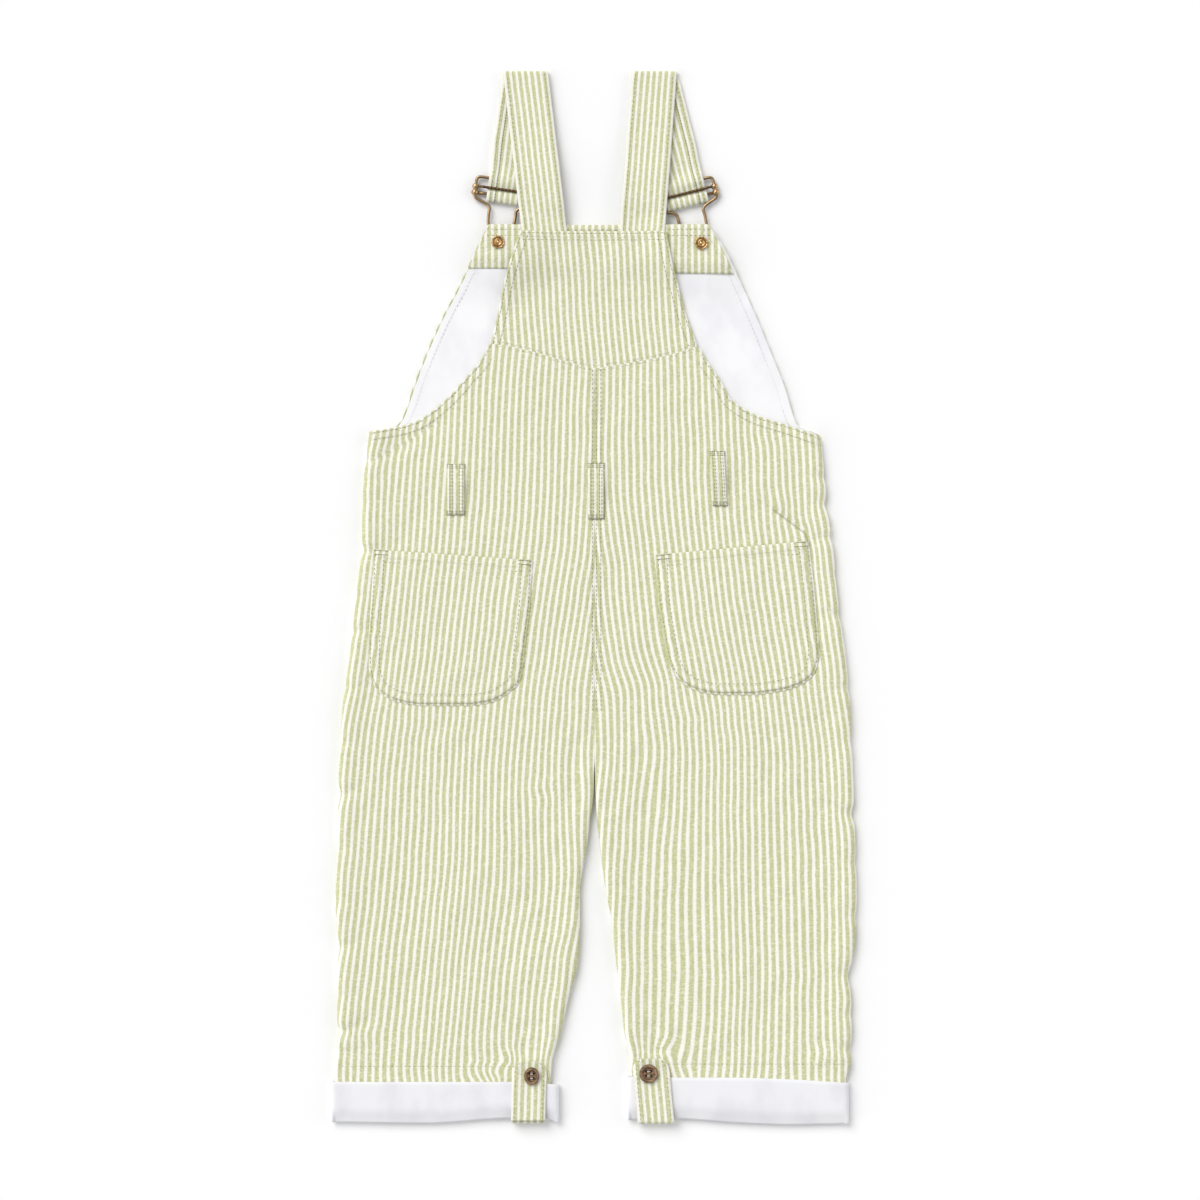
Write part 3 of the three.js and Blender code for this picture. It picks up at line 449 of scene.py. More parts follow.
def stripe_shift(side: Side, x: Array, y: Array) -> Array:
    """How far to the right the back's stripes lie from their drift alone."""
    pushed = sum(moved.at(x, y) for moved in [*BULGES, *JOGS])
    return pushed + pinched(side, x, y) + STRIPE_WAVES.at(x, y) + STRIPE_WOBBLE.at(x, y)


def ripple(distance: Array, place: Array, length: float = 7.5, reach: float = 6.0) -> Array:
    """Height of the puckers beside a row of stitches.

    Args:
        distance: from the stitches.
        place: along them.
        length: from one pucker to the next.
        reach: how far they run out from the stitches.

    Returns:
        The height at each place.
    """
    wave = np.sin(2 * math.pi * place / length + 2.4 * np.sin(place / 11.0))
    return 0.2 * wave * bell(distance / reach)


@dataclass(frozen=True)
class StrapEnds:
    """Places of one strap: under the yoke, its fold, the end of its loop, and the bib button."""

    start: tuple[float, float]
    fold: tuple[float, float]
    end: tuple[float, float]
    button: tuple[float, float]


STRAPS = {
    Side.LEFT: StrapEnds((-31.9, 231.5), (-45.5, 346.3), (-57.4, 261.4), (-63.4, 233.2)),
    Side.RIGHT: StrapEnds((30.7, 231.5), (39.5, 346.3), (61.3, 259.6), (70.3, 232.6)),
}


def side_edge(side: Side, y: Array) -> Array:
    """The garment's outer edge with its puckers.

    Args:
        side: which side it is on.
        y: places up the garment.

    Returns:
        Its x at each height.
    """
    x = BODY.at(y, side.column)
    for place, bite, reach in PUCKERS[side] + PINCHES[side]:
        x = x - side.sign * bite * bell((y - place) / reach)
    return x


def inner_edge(side: Side, y: Array) -> Array:
    """The seam down the middle, and the leg's inner edge below the crotch."""
    closed = side.sign * 0.13 * smooth(CROTCH_Y, CROTCH_Y + 8, y)
    return INSEAM.at(y, side.column) - closed


def bib_lift(x: Array, y: Array) -> Array:
    """How far the buttons and hooks hold the bib off the table.

    Args:
        x: places across, in millimetres.
        y: places up the garment.

    Returns:
        The height at each place.
    """
    most = np.zeros(np.broadcast(x, y).shape)
    for ends in STRAPS.values():
        r = np.hypot(x - ends.button[0], y - ends.button[1])
        most = np.maximum(most, 1 - smooth(LIFT_FLAT, LIFT_END, r))
    return BIB_LIFT * most


def pressed(folds: Sequence[Fold], x: Array, y: Array) -> Array:
    """Depth of all of these creases together."""
    return sum(fold.at(x, y) for fold in folds)


def hem_share(y: Array) -> Array:
    """How much of the turned-up hem's height a place has."""
    return smooth(HEM_TOP_Y, HEM_FULL_Y, y)


def leg_open(y: Array) -> Array:
    """One where the legs are apart, 0 where they are joined."""
    return smooth(CROTCH_Y + 4, CROTCH_Y - 8, y)


def roll_reach(y: Array) -> Array:
    """How far a rolled edge reaches in."""
    return mix(SIDE_ROLL, HEM_ROLL, hem_share(y))


def fold_height(y: Array) -> Array:
    """Height of the side seam."""
    return mix(SIDE_MIDDLE, HEM_MIDDLE, hem_share(y))


def back_top(x: Array, y: Array, side: Side, fine: float = 1.0) -> Array:
    """Height of the back's outer face.

    Args:
        x: place across, in millimetres.
        y: place up the garment.
        side: which panel it is on.
        fine: how much of the finer creases to add.

    Returns:
        The height over the table.
    """
    out = np.abs(x - side_edge(side, y))
    inn = np.abs(x - inner_edge(side, y))
    hem, is_open, reach = hem_share(y), leg_open(y), roll_reach(y)
    edge = fold_height(y) + GAP / 2
    top = LEVEL.at(y) + bib_lift(x, y)
    top = top + (1 - hem) * PUFF * (bell((out - 6) / 8) + 0.8 * is_open * bell((inn - 6) / 8))
    top = top - (1 - hem) * pressed(MAIN_FOLDS, x, y)
    top = top - 0.35 * (1 - is_open) * bell(inn / 2.4)
    for place, _, pucker in PUCKERS[side]:
        top = top - 0.9 * (1 - hem) * bell((y - place) / pucker) * bell(out / 13)
    if fine:
        for place, bite, reach_y in PINCHES[side]:
            top = top - 0.8 * bite * (1 - hem) * bell((y - place) / reach_y) * bell(out / 12)
        calm = smooth(HEM_FULL_Y - 3, HEM_FULL_Y + 4, y)
        small = BACK_WAVES.at(x, y) + CRINKLE.at(x, y) - pressed(FINE_FOLDS, x, y)
        small = small + ripple(inn, y) * (1 - is_open)
        top = top + fine * calm * np.clip(small, -0.85, 0.75) * smooth(0, 5, out)
    return edge + (top - edge) * rolled(out / reach) * (1 - is_open * (1 - rolled(inn / reach)))


def front_bottom(x: Array, y: Array, side: Side, fine: float = 1.0) -> Array:
    """Height of the front's outer face, which lies on the table but for its rolled edges.

    Args:
        x: places across, in millimetres.
        y: places up the garment.
        side: which side it is on.
        fine: how much of the finer creases to add.

    Returns:
        The height over the table.
    """
    out = np.abs(x - side_edge(side, y))
    inn = np.abs(x - inner_edge(side, y))
    floor = HEM_RISE * hem_share(y)
    if fine:
        small = pressed(FRONT_FOLDS, x, y) + FRONT_WAVES.at(x, y)
        floor = floor + fine * np.clip(small, 0, 0.9) * (1 - hem_share(y)) * smooth(2, 9, out)
    edge = fold_height(y) - GAP / 2
    below = smooth(WAIST_Y - 1, WAIST_Y - 12, y)
    outer = 1 - below * (1 - rolled(out / roll_reach(y)))
    inner = 1 - leg_open(y) * (1 - rolled(inn / roll_reach(y)))
    return edge + (floor - edge) * outer * inner


def yoke_top(x: Array, y: Array) -> Array:
    """Height of the yoke's outer face, which meets the back's at the V seam.

    Args:
        x: places across, in millimetres.
        y: places up the garment.

    Returns:
        The height over the table.
    """
    between = 0.9 * smooth(205, 225, y) * bell(x / 10)
    small = 0.6 * BACK_WAVES.at(x, y) * smooth(YOKE_TOP_Y, YOKE_TOP_Y - 12, y)
    small = small + 0.7 * CRINKLE.at(x, y)
    own = LEVEL.at(y) + bib_lift(x, y) - between + np.clip(small, -0.2, 0.5)
    back = np.where(x < 0, back_top(x, y, Side.LEFT), back_top(x, y, Side.RIGHT))
    above = y - BACK_TOP.at(x)
    return mix(back + ripple(above, x, length=8.5), own, smooth(0, 7, above))


class Grain:
    """Where the stripes run on a panel: they drift sideways down the garment."""

    def __init__(self, rows: Sequence[Sequence[float]]) -> None:
        """Add up the lean from the top down.

        Args:
            rows: y, and the lean at the panel's outer edge, middle and inner edge, in
                hundredths sideways for each step down.
        """
        lean = Curve(rows)
        self.y = np.linspace(lean.key[0], lean.key[-1], 400)
        step = self.y[1] - self.y[0]
        self.drift = []
        for column in range(lean.values.shape[1]):
            slope = lean.at(self.y, column) / 100
            total = np.concatenate([[0], np.cumsum((slope[1:] + slope[:-1]) / 2 * step)])
            self.drift.append(total[-1] - total)

    def across(self, x: Array, y: Array, share: Array | float = 0.0) -> Array:
        """Place across the stripes.

        Args:
            x: place across the garment.
            y: place up the garment.
            share: 0 at the panel's outer edge, 1 at its inner edge.

        Returns:
            Millimetres across the cloth's stripes.
        """
        drifts = [np.interp(y, self.y, d) for d in self.drift]
        if len(drifts) == 1:
            return x - drifts[0]
        s = np.clip(share, 0, 1)
        outer, middle = smooth(0.5, 0, s), smooth(0, 0.5, s) * smooth(1, 0.5, s)
        inner = smooth(0.5, 1, s)
        return x - (outer * drifts[0] + middle * drifts[1] + inner * drifts[2])


BACK_GRAIN = {
    Side.LEFT: Grain([
        (170, -6, -8, -6), (130, -6, -6, -3), (104, -10, -7, -3), (74, -6, -6, -7),
        (44, -4, -6, -9), (20, -13, -13, -13), (-15, -12, -12, -12), (-55, -15, -13, -12),
        (-75, -19, -8, -5), (-94, -11, -10, -12), (-116, -9, -8, 0), (-140, -8, -4, 3),
        (-160, -9, -3, 4), (-195, -10, -7, -5), (-233, -10, -11, -14), (-262, -9, -12, -15),
        (-295, -8, -9, -10), (-315, -4, -4, -4),
    ]),
    Side.RIGHT: Grain([
        (170, 4, 2, -2), (130, 6, 3, -2), (104, 10, 5, -1), (84, 5, 2, 0), (64, 9, 7, 5),
        (40, 14, 12, 10), (5, 11, 11, 11), (-20, 14, 14, 15), (-38, 15, 17, 19),
        (-56, 9, 14, 18), (-76, 17, 12, 6), (-95, 13, 8, 1), (-114, 6, 0, -10),
        (-134, 4, 0, -7), (-154, 7, 3, -4), (-174, 1, 0, -2), (-213, 1, 0, -2),
        (-260, 1, 1, 1), (-292, 1, 1, 4), (-315, -5, 0, 12),
    ]),
}
YOKE_GRAIN = Grain([(240, 11), (216, 6), (196, 5), (176, 10), (150, 12)])
FRONT_GRAIN = {
    Side.LEFT: Grain([(110, 0, 0, 0), (0, -6, -4, 0), (-120, -9, -6, -2), (-315, -8, -7, -9)]),
    Side.RIGHT: Grain([(110, 0, 0, 0), (0, 6, 4, 0), (-120, 8, 4, -2), (-315, 2, 2, 4)]),
}


@dataclass
class Surface:
    """The outer face of a piece as a grid of points, and where each lies on its cloth."""

    points: Array
    across: Array
    along: Array
    hem: Array | None = None
    seam: Array | None = None
    wall: Array | float = CLOTH

    def normals(self, level_sides: bool = False) -> Array:
        """Direction out of the face at each point.

        Args:
            level_sides: turn the cut ends of rolled side rims level.

        Returns:
            Unit vectors, in the shape of the grid.
        """
        p = self.points
        u, v = np.gradient(p, axis=1), np.gradient(p, axis=0)
        n = np.cross(u, v)
        n /= np.maximum(np.linalg.norm(n, axis=2, keepdims=True), 1e-9)
        if level_sides:
            rims = n[:, [0, -1]]
            rims[..., 2] *= smooth(0.7, 0.95, np.abs(rims[..., 2]))
            rims /= np.linalg.norm(rims, axis=2, keepdims=True)
            n[:, [0, -1]] = rims
        return n

    def row_at(self, column: float, lift: float, span: slice = slice(None)) -> Array:
        """Points down the face at one place across it.

        Args:
            column: 0 at the first column, 1 at the last.
            lift: how far over the face, in millimetres.
            span: which lines to take.

        Returns:
            Points for a row of stitches.
        """
        place = column * (self.points.shape[1] - 1)
        j = min(int(place), self.points.shape[1] - 2)
        raised = self.points + lift * self.normals()
        return mix(raised[:, j], raised[:, j + 1], place - j)[span]


def to_metres(points: Array) -> Array:
    """The part's own millimetres to the frame's metres.

    Args:
        points: places in the part's own millimetres.

    Returns:
        One row for each point.
    """
    flat = np.array(points, dtype=float).reshape(-1, 3)
    flat[:, :2] += ORIGIN
    return flat / 1000


def new_object(name: str, points: Array, faces: Faces) -> Piece:
    """Make a smooth mesh object.

    Args:
        name: the piece's name.
        points: places in the part's own millimetres.
        faces: corners of each face.

    Returns:
        The object, linked to the scene.
    """
    mesh = bpy.data.meshes.new(name)
    mesh.from_pydata(to_metres(points).tolist(), [], faces)
    mesh.polygons.foreach_set("use_smooth", [True] * len(mesh.polygons))
    return linked(name, mesh)


def linked(name: str, data: bpy.types.ID) -> Piece:
    """Put a mesh, lamp or camera into the scene.

    Args:
        name: its name.
        data: the mesh, lamp or camera.

    Returns:
        The object.
    """
    made = bpy.data.objects.new(name, data)
    bpy.context.scene.collection.objects.link(made)
    return made


def mark(piece: Piece, label: str, values: Array) -> None:
    """Keep a number with each point of a piece.

    Args:
        piece: the object.
        label: the number's name, such as the one that darkens metal and buttons, for patina and for
            painted shade.
        values: one for each point.
    """
    layer = piece.data.attributes.new(label, "FLOAT", "POINT")
    layer.data.foreach_set("value", np.asarray(values, dtype=np.float32).ravel())


def map_cloth(piece: Piece, places: Array) -> None:
    """Keep each point's place on its cloth.

    Args:
        piece: the object.
        places: millimetres across and along, for each point.
    """
    corners = np.empty(len(piece.data.loops), dtype=np.int32)
    piece.data.loops.foreach_get("vertex_index", corners)
    layer = piece.data.uv_layers.new(name="cloth")
    layer.data.foreach_set("uv", (places[corners] / 100).ravel())


def grid_faces(lines: int, columns: int, first: int = 0, flip: bool = False,
               ring: bool = False, loop: bool = False, start: int = 0) -> Array:
    """Four-sided faces between the lines and columns of a grid.

    Args:
        lines: number of lines.
        columns: number of points in a line.
        first: number of the first point.
        flip: whether the faces look the other way.
        ring: whether each line closes on itself.
        loop: whether the last line joins the first.
        start: how far the corners are turned, which sets how a face is cut in two.

    Returns:
        The four corners of each face.
    """
    i, j = np.meshgrid(np.arange(lines - (not loop)), np.arange(columns - (not ring)),
                       indexing="ij")
    below, after = (i + 1) % lines * columns, (j + 1) % columns
    corners = [i * columns + j, i * columns + after, below + after, below + j]
    quads = first + np.stack([corner.ravel() for corner in corners], axis=1)
    return np.roll(quads[:, ::-1] if flip else quads, start, axis=1)


def cloth_shell(name: str, face: Surface, share: float = 0.0,
                level_sides: bool = False) -> Piece:
    """A thin closed shell of cloth on a grid.

    Args:
        name: the piece's name.
        face: its outer face.
        share: how much of the wall lies outside the grid.
        level_sides: whether the side rims are cut level, for rolled edges.

    Returns:
        The object, with the cloth's own map and its distances from hems and seams.
    """
    lines, columns = face.points.shape[:2]
    n = face.normals(level_sides)
    thick = n * np.broadcast_to(face.wall, (lines, columns))[..., None]
    outer = face.points + share * thick
    inner = face.points + (share - 1) * thick
    size = lines * columns
    index = np.arange(size).reshape(lines, columns)
    rim = np.concatenate([index[0], index[1:, -1], index[-1, -2::-1], index[-2:0:-1, 0]])
    after = np.roll(rim, -1)
    band = np.stack([after, rim, size + rim, size + after], axis=1)
    faces = np.vstack([
        grid_faces(lines, columns), grid_faces(lines, columns, size, flip=True), band,
    ])
    points = np.vstack([outer.reshape(-1, 3), inner.reshape(-1, 3)])
    made = new_object(name, points, faces.tolist())
    places = np.stack([face.across.ravel(), face.along.ravel()], axis=1)
    map_cloth(made, np.vstack([places, places]))
    for label, values in (("hem", face.hem), ("seam", face.seam)):
        spread = np.full(size, FAR) if values is None else np.asarray(values).ravel()
        mark(made, label, np.tile(spread, 2))
    return made


class Slot(Enum):
    """Material slots of the part's record."""

    STRIPED = "striped_cloth"
    WHITE = "white_cloth"
    METAL = "antique_metal"
    COPPER = "copper_metal"
    BROWN = "brown_button"


class Wiring:
    """A short way to add nodes to a tree and join them."""

    def __init__(self, tree: Tree) -> None:
        """Keep the tree."""
        self.tree = tree

    def put(self, socket: Socket, value: object) -> None:
        """Join a socket to another, or set its value.

        Args:
            socket: the input.
            value: a socket or a value; None leaves it.
        """
        if isinstance(value, Socket):
            self.tree.links.new(value, socket)
        elif value is not None:
            socket.default_value = value

    def add(self, kind: str, inputs: dict[str | int, object] | None = None,
            **settings: object) -> bpy.types.Node:
        """Add a node.

        Args:
            kind: Blender's name for the node type.
            inputs: values or sockets by the input's name or number.
            settings: the node's own properties.

        Returns:
            The node.
        """
        node = self.tree.nodes.new(kind)
        for key, value in settings.items():
            setattr(node, key, value)
        for key, value in (inputs or {}).items():
            self.put(node.inputs[key], value)
        return node

    def math(self, operation: str, *values: object) -> Socket:
        """Result of a sum on numbers."""
        node = self.add("ShaderNodeMath", dict(enumerate(values)), operation=operation)
        return node.outputs[0]

    def times(self, a: object, b: object) -> Socket:
        """Two numbers multiplied."""
        return self.math("MULTIPLY", a, b)

    def plus(self, a: object, b: object) -> Socket:
        """Two numbers added."""
        return self.math("ADD", a, b)

    def blend(self, share: object, a: object, b: object) -> Socket:
        """A colour between two."""
        node = self.add("ShaderNodeMix", {0: share, 6: a, 7: b}, data_type="RGBA")
        return node.outputs[2]

    def between(self, value: object, low: float, high: float, to_low: float = 0.0,
                to_high: float = 1.0) -> Socket:
        """A number mapped smoothly from one range to another.

        Args:
            value: the number.
            low: start of its range.
            high: end of its range.
            to_low: result at the start.
            to_high: result at the end.

        Returns:
            The mapped number.
        """
        inputs = {0: value, 1: low, 2: high, 3: to_low, 4: to_high}
        node = self.add("ShaderNodeMapRange", inputs, interpolation_type="SMOOTHSTEP")
        return node.outputs[0]

    def noise(self, vector: object, scale: float, detail: float = 2.0) -> Socket:
        """Soft noise from 0 to 1."""
        inputs = {"Vector": vector, "Scale": scale, "Detail": detail}
        return self.add("ShaderNodeTexNoise", inputs).outputs[0]

    def vector(self, x: object, y: object, z: object = 0.0) -> Socket:
        """Three numbers as one place."""
        return self.add("ShaderNodeCombineXYZ", {0: x, 1: y, 2: z}).outputs[0]

    def marked(self, label: str) -> Socket:
        """The number that mark() kept with each point."""
        return self.add("ShaderNodeAttribute", attribute_name=label).outputs["Fac"]

    def places(self) -> Socket:
        """Place on the object, in metres."""
        return self.add("ShaderNodeTexCoord").outputs["Object"]

    def surface(self, inputs: dict[str, object], height: object = None, distance: float = 0.001,
                strength: float = 0.5) -> None:
        """Set a material's shader.

        Args:
            inputs: values or sockets by the shader's input names.
            height: fine relief of the surface, if it has any.
            distance: how high one unit of it is, in metres.
            strength: how strongly it shows.
        """
        shader = self.tree.nodes["Principled BSDF"]
        if height is not None:
            relief = {"Height": height, "Distance": distance, "Strength": strength}
            inputs = {**inputs, "Normal": self.add("ShaderNodeBump", relief).outputs[0]}
        for label, value in inputs.items():
            self.put(shader.inputs[label], value)


def new_group(name: str, inputs: dict[str, float | None], outputs: dict[str, str],
              ) -> tuple[Tree, Wiring, dict[str, Socket]]:
    """Start a shader node group.

    Args:
        name: the group's name.
        inputs: number inputs and their usual values; None makes a vector.
        outputs: output names and socket types.

    Returns:
        The group, its wiring, and its inputs by name.
    """
    group = bpy.data.node_groups.new(name, "ShaderNodeTree")
    for label, value in inputs.items():
        kind = "NodeSocketVector" if value is None else "NodeSocketFloat"
        socket = group.interface.new_socket(label, in_out="INPUT", socket_type=kind)
        if value is not None:
            socket.default_value = value
    for label, kind in outputs.items():
        group.interface.new_socket(label, in_out="OUTPUT", socket_type=kind)
    wiring = Wiring(group)
    entry = wiring.add("NodeGroupInput")
    return group, wiring, {label: entry.outputs[label] for label in inputs}


def weave_group() -> Tree:
    """Plain weave: threads over and under each other, uneven in thickness.

    Returns:
        The node group.
    """
    group, w, given = new_group(
        "plain weave", {"Across": 0.0, "Along": 0.0, "Thread": 0.5}, {"Height": "NodeSocketFloat"}
    )
    turn = 2 * math.pi
    across = w.math("DIVIDE", given["Across"], given["Thread"])
    along = w.math("DIVIDE", given["Along"], given["Thread"])
    loose = w.noise(w.vector(given["Across"], given["Along"]), 0.35)
    across = w.plus(across, w.times(loose, 1.5))
    waves = w.times(w.math("SINE", w.times(across, turn)),
        w.math("SINE", w.times(along, turn)),
    )
    slub = w.noise(w.vector(w.times(given["Across"], 2.2),
                            w.times(given["Along"], 0.25)), 1.0, 3.0)
    weft = w.noise(w.vector(w.times(given["Across"], 0.25),
                            w.times(given["Along"], 2.2)), 1.0, 3.0)
    total = w.plus(w.times(waves, 0.25), w.plus(slub, weft))
    w.add("NodeGroupOutput", {"Height": total})
    return group


def hem_group() -> Tree:
    """A sewn edge: folded thickness, sunk rows of stitching and small puckers between.

    Returns:
        The node group.
    """
    group, w, given = new_group(
        "sewn edge",
        {"Distance": FAR, "First row": 1.4, "Second row": 5.6, "Along": 0.0, "Across": 0.0},
        {"Height": "NodeSocketFloat", "Shade": "NodeSocketFloat"},
    )

    def sunk(row: Socket, half: float) -> Socket:
        """One at the row, falling to 0 at a distance of half."""
        off = w.math("ABSOLUTE", w.math("SUBTRACT", given["Distance"], row))
        return w.between(off, 0.0, half, 1.0, 0.0)

    rows = w.plus(sunk(given["First row"], 0.8), sunk(given["Second row"], 0.8))
    hem = w.between(w.math("SUBTRACT", given["Distance"], given["Second row"]), 0.2, 1.2, 1.0, 0.0)
    spots = w.noise(w.vector(given["Across"], given["Along"]), 0.45, 2.0)
    pucker = w.times(w.between(given["Distance"], 1.0, 11.0, 1.0, 0.0), spots)
    height = w.plus(w.times(rows, -0.55), w.times(hem, 0.45))
    w.add("NodeGroupOutput", {
        "Height": w.plus(height, w.times(pucker, 0.9)),
        "Shade": w.times(rows, w.between(spots, 0.3, 0.7, 0.4, 1.0)),
    })
    return group


def crease_group() -> Tree:
    """Distance from a place to a straight crease between two ends.

    Returns:
        The node group.
    """
    group, w, given = new_group(
        "crease line", {"Place": None, "Start": None, "End": None}, {"Distance": "NodeSocketFloat"}
    )

    def vector_math(operation: str, a: object, b: object, output: str = "Vector") -> object:
        """Result of a sum on vectors."""
        node = w.add("ShaderNodeVectorMath", {0: a, 1: b}, operation=operation)
        return node.outputs[output]

    run = vector_math("SUBTRACT", given["End"], given["Start"])
    reach = vector_math("SUBTRACT", given["Place"], given["Start"])
    share = w.math("DIVIDE", vector_math("DOT_PRODUCT", reach, run, "Value"),
                   vector_math("DOT_PRODUCT", run, run, "Value"))
    share = w.math("MINIMUM", w.math("MAXIMUM", share, 0.0), 1.0)
    nearest = vector_math("MULTIPLY", run, w.vector(share, share, share))
    w.add("NodeGroupOutput", {"Distance": vector_math("DISTANCE", reach, nearest, "Value")})
    return group


def new_material(name: str) -> tuple[Material, Wiring]:
    """An empty node material and its wiring.

    Args:
        name: its name.

    Returns:
        The material and its wiring.
    """
    material = bpy.data.materials.new(name)
    material.use_nodes = True
    return material, Wiring(material.node_tree)


def cloth_places(w: Wiring) -> tuple[Socket, Socket]:
    """Millimetres across and along the cloth, from its own map.

    Args:
        w: the material's wiring.

    Returns:
        Sockets across and along.
    """
    uv = w.add("ShaderNodeUVMap", uv_map="cloth").outputs[0]
    parts = w.add("ShaderNodeSeparateXYZ", {0: uv})
    return w.times(parts.outputs[0], 100.0), w.times(parts.outputs[1], 100.0)


Colour = tuple[float, float, float, float]


@dataclass(frozen=True)
class StripedCloth:
    """Yarn-dyed cotton with green stripes on cream."""

    green: Colour = (0.525, 0.555, 0.30, 1)
    warm: Colour = (0.60, 0.595, 0.32, 1)
    deep: Colour = (0.40, 0.43, 0.20, 1)
    cream: Colour = (0.90, 0.875, 0.81, 1)
    green_share: float = 0.57
    softness: float = 0.38
    roughness: float = 0.9
    sheen: float = 0.12
    shine: float = 0.2

    def make(self, weave: Tree, hem: Tree,
             creases: Tree) -> Material:
        """Build the material from the weave, the sewn edge and the sharp creases.

        Args:
            weave: the weave's node group.
            hem: the sewn edge's node group.
            creases: the crease line's node group.

        Returns:
            The material.
        """
        material, w = new_material("striped cotton")
        across, along = cloth_places(w)

        def spots(wide: float, high: float, layer: float, detail: float = 2.0) -> object:
            """Noise with spots of a width and height in millimetres."""
            return w.noise(w.vector(w.math("DIVIDE", across, wide), w.math("DIVIDE", along, high),
                                    layer), 1.0, detail)

        ragged = spots(1.4, 1.1, 0.0, 3.0)
        wobble = w.times(w.math("SUBTRACT", ragged, 0.5), 1.3)
        phase = w.math("FRACT", w.math("DIVIDE", w.plus(across, wobble), STRIPE_PITCH))
        off = w.times(w.math("ABSOLUTE", w.math("SUBTRACT", phase, 0.5)), STRIPE_PITCH)
        edge = STRIPE_PITCH * self.green_share / 2
        mask = w.between(off, edge - self.softness, edge + self.softness, 1.0, 0.0)
        green = w.blend(w.between(spots(1.2, 6.0, 2.0, 3.0), 0.35, 0.7), self.green, self.warm)
        slubs = w.between(spots(1.3, 3.4, 4.0, 3.0), 0.45, 0.75, 0.0, 0.5)
        green = w.blend(slubs, green, self.deep)
        flecks = w.between(spots(2.6, 1.3, 6.0, 3.0), 0.42, 0.8, 0.0, 0.55)
        green = w.blend(flecks, green, self.cream)
        colour = w.blend(mask, self.cream, green)
        weft = w.between(spots(7.0, 0.9, 8.0, 2.0), 0.5, 0.8, 0.0, 0.14)
        colour = w.blend(weft, colour, self.deep)
        height = w.add("ShaderNodeGroup", {"Across": across, "Along": along}, node_tree=weave)
        total = w.times(height.outputs["Height"], 0.06)
        crinkle = w.plus(spots(8.0, 3.0, 10.0, 3.0), spots(3.0, 4.0, 12.0, 2.0))
        total = w.plus(total, w.times(crinkle, 0.3))
        for label, rows in (("hem", HEM_ROWS), ("seam", SEAM_ROWS)):
            sewn = w.add("ShaderNodeGroup", {
                "Distance": w.marked(label), "First row": rows[0], "Second row": rows[1],
                "Along": along, "Across": across,
            }, node_tree=hem)
            total = w.plus(total, w.times(sewn.outputs["Height"], 0.5))
            shade = w.times(sewn.outputs["Shade"], 0.13)
            colour = w.blend(shade, colour, (0.25, 0.27, 0.15, 1))
        parts = w.add("ShaderNodeSeparateXYZ", {0: w.places()})
        place = w.vector(w.times(parts.outputs[0], 1000.0),
                         w.times(parts.outputs[1], 1000.0))
        distances = [
            w.add("ShaderNodeGroup", {"Place": place, "Start": start, "End": end},
                  node_tree=creases).outputs[0] for start, end in SHARP_CREASES
        ]
        # Painted shade: the cloth is darkened along the sharp creases, and its relief dips there.
        crease = w.between(w.math("MINIMUM", *distances), 0.2, 1.1, 0.42, 0.0)
        colour = w.blend(crease, colour, (0.2, 0.22, 0.12, 1))
        total = w.math("SUBTRACT", total, crease)
        w.surface({
            "Base Color": colour, "Roughness": self.roughness, "Sheen Weight": self.sheen,
            "Specular IOR Level": self.shine,
        }, total, strength=0.6)
        return material


@dataclass(frozen=True)
class WhiteCloth:
    """Fine white cotton of the lining and the inside of the legs."""

    white: Colour = (0.90, 0.90, 0.915, 1)
    shade: Colour = (0.82, 0.815, 0.85, 1)
    fold: float = 0.4  # where the first sunk line runs, from the edge
    roughness: float = 0.85
    sheen: float = 0.1
    shine: float = 0.2

    def make(self, weave: Tree, hem: Tree) -> Material:
        """Build the material from the weave and the sewn edge.

        Args:
            weave: the weave's node group.
            hem: the sewn edge's node group.

        Returns:
            The material.
        """
        material, w = new_material("white cotton")
        across, along = cloth_places(w)
        # Cloudy patches blended towards the shade colour: painted shade.
        cloudy = w.noise(w.vector(across, w.times(along, 0.6)), 0.05, 4.0)
        colour = w.blend(w.between(cloudy, 0.38, 0.7, 0.0, 0.9), self.white, self.shade)
        height = w.add("ShaderNodeGroup", {"Across": across, "Along": along}, node_tree=weave)
        total = w.times(height.outputs["Height"], 0.05)
        sewn = w.add("ShaderNodeGroup", {
            "Distance": w.marked("hem"), "First row": self.fold, "Second row": LINING_ROW,
            "Along": along, "Across": across,
        }, node_tree=hem)
        total = w.plus(total, w.times(sewn.outputs["Height"], 0.4))
        colour = w.blend(w.times(sewn.outputs["Shade"], 0.12), colour,
                         (0.45, 0.45, 0.44, 1))
        w.surface({
            "Base Color": colour, "Roughness": self.roughness, "Sheen Weight": self.sheen,
            "Specular IOR Level": self.shine,
        }, total)
        return material


@dataclass(frozen=True)
class AgedMetal:
    """Plated metal with a darker patina in patches, and darker still at marked points: patina in
    the tack backs' hollows, painted shade on the buckle wire, darker bars on the slide.
    """

    name: str
    bright: Colour
    dark: Colour
    roughness: float = 0.34
    patch_scale: float = 260.0

    def make(self) -> Material:
        """Build the material.

        Returns:
            The material.
        """
        material, w = new_material(self.name)
        places = w.places()
        patches = w.noise(places, self.patch_scale, 3.0)
        grain = w.noise(places, self.patch_scale * 9, 2.0)
        share = w.math("MAXIMUM", w.between(patches, 0.48, 0.74, 0.0, 0.8), w.marked("patina_and_shade"))
        uneven = w.between(grain, 0.2, 0.8, self.roughness - 0.08, self.roughness + 0.12)
        w.surface({
            "Base Color": w.blend(share, self.bright, self.dark), "Roughness": uneven,
            "Metallic": 1.0,
        }, grain, distance=0.00004)
        return material


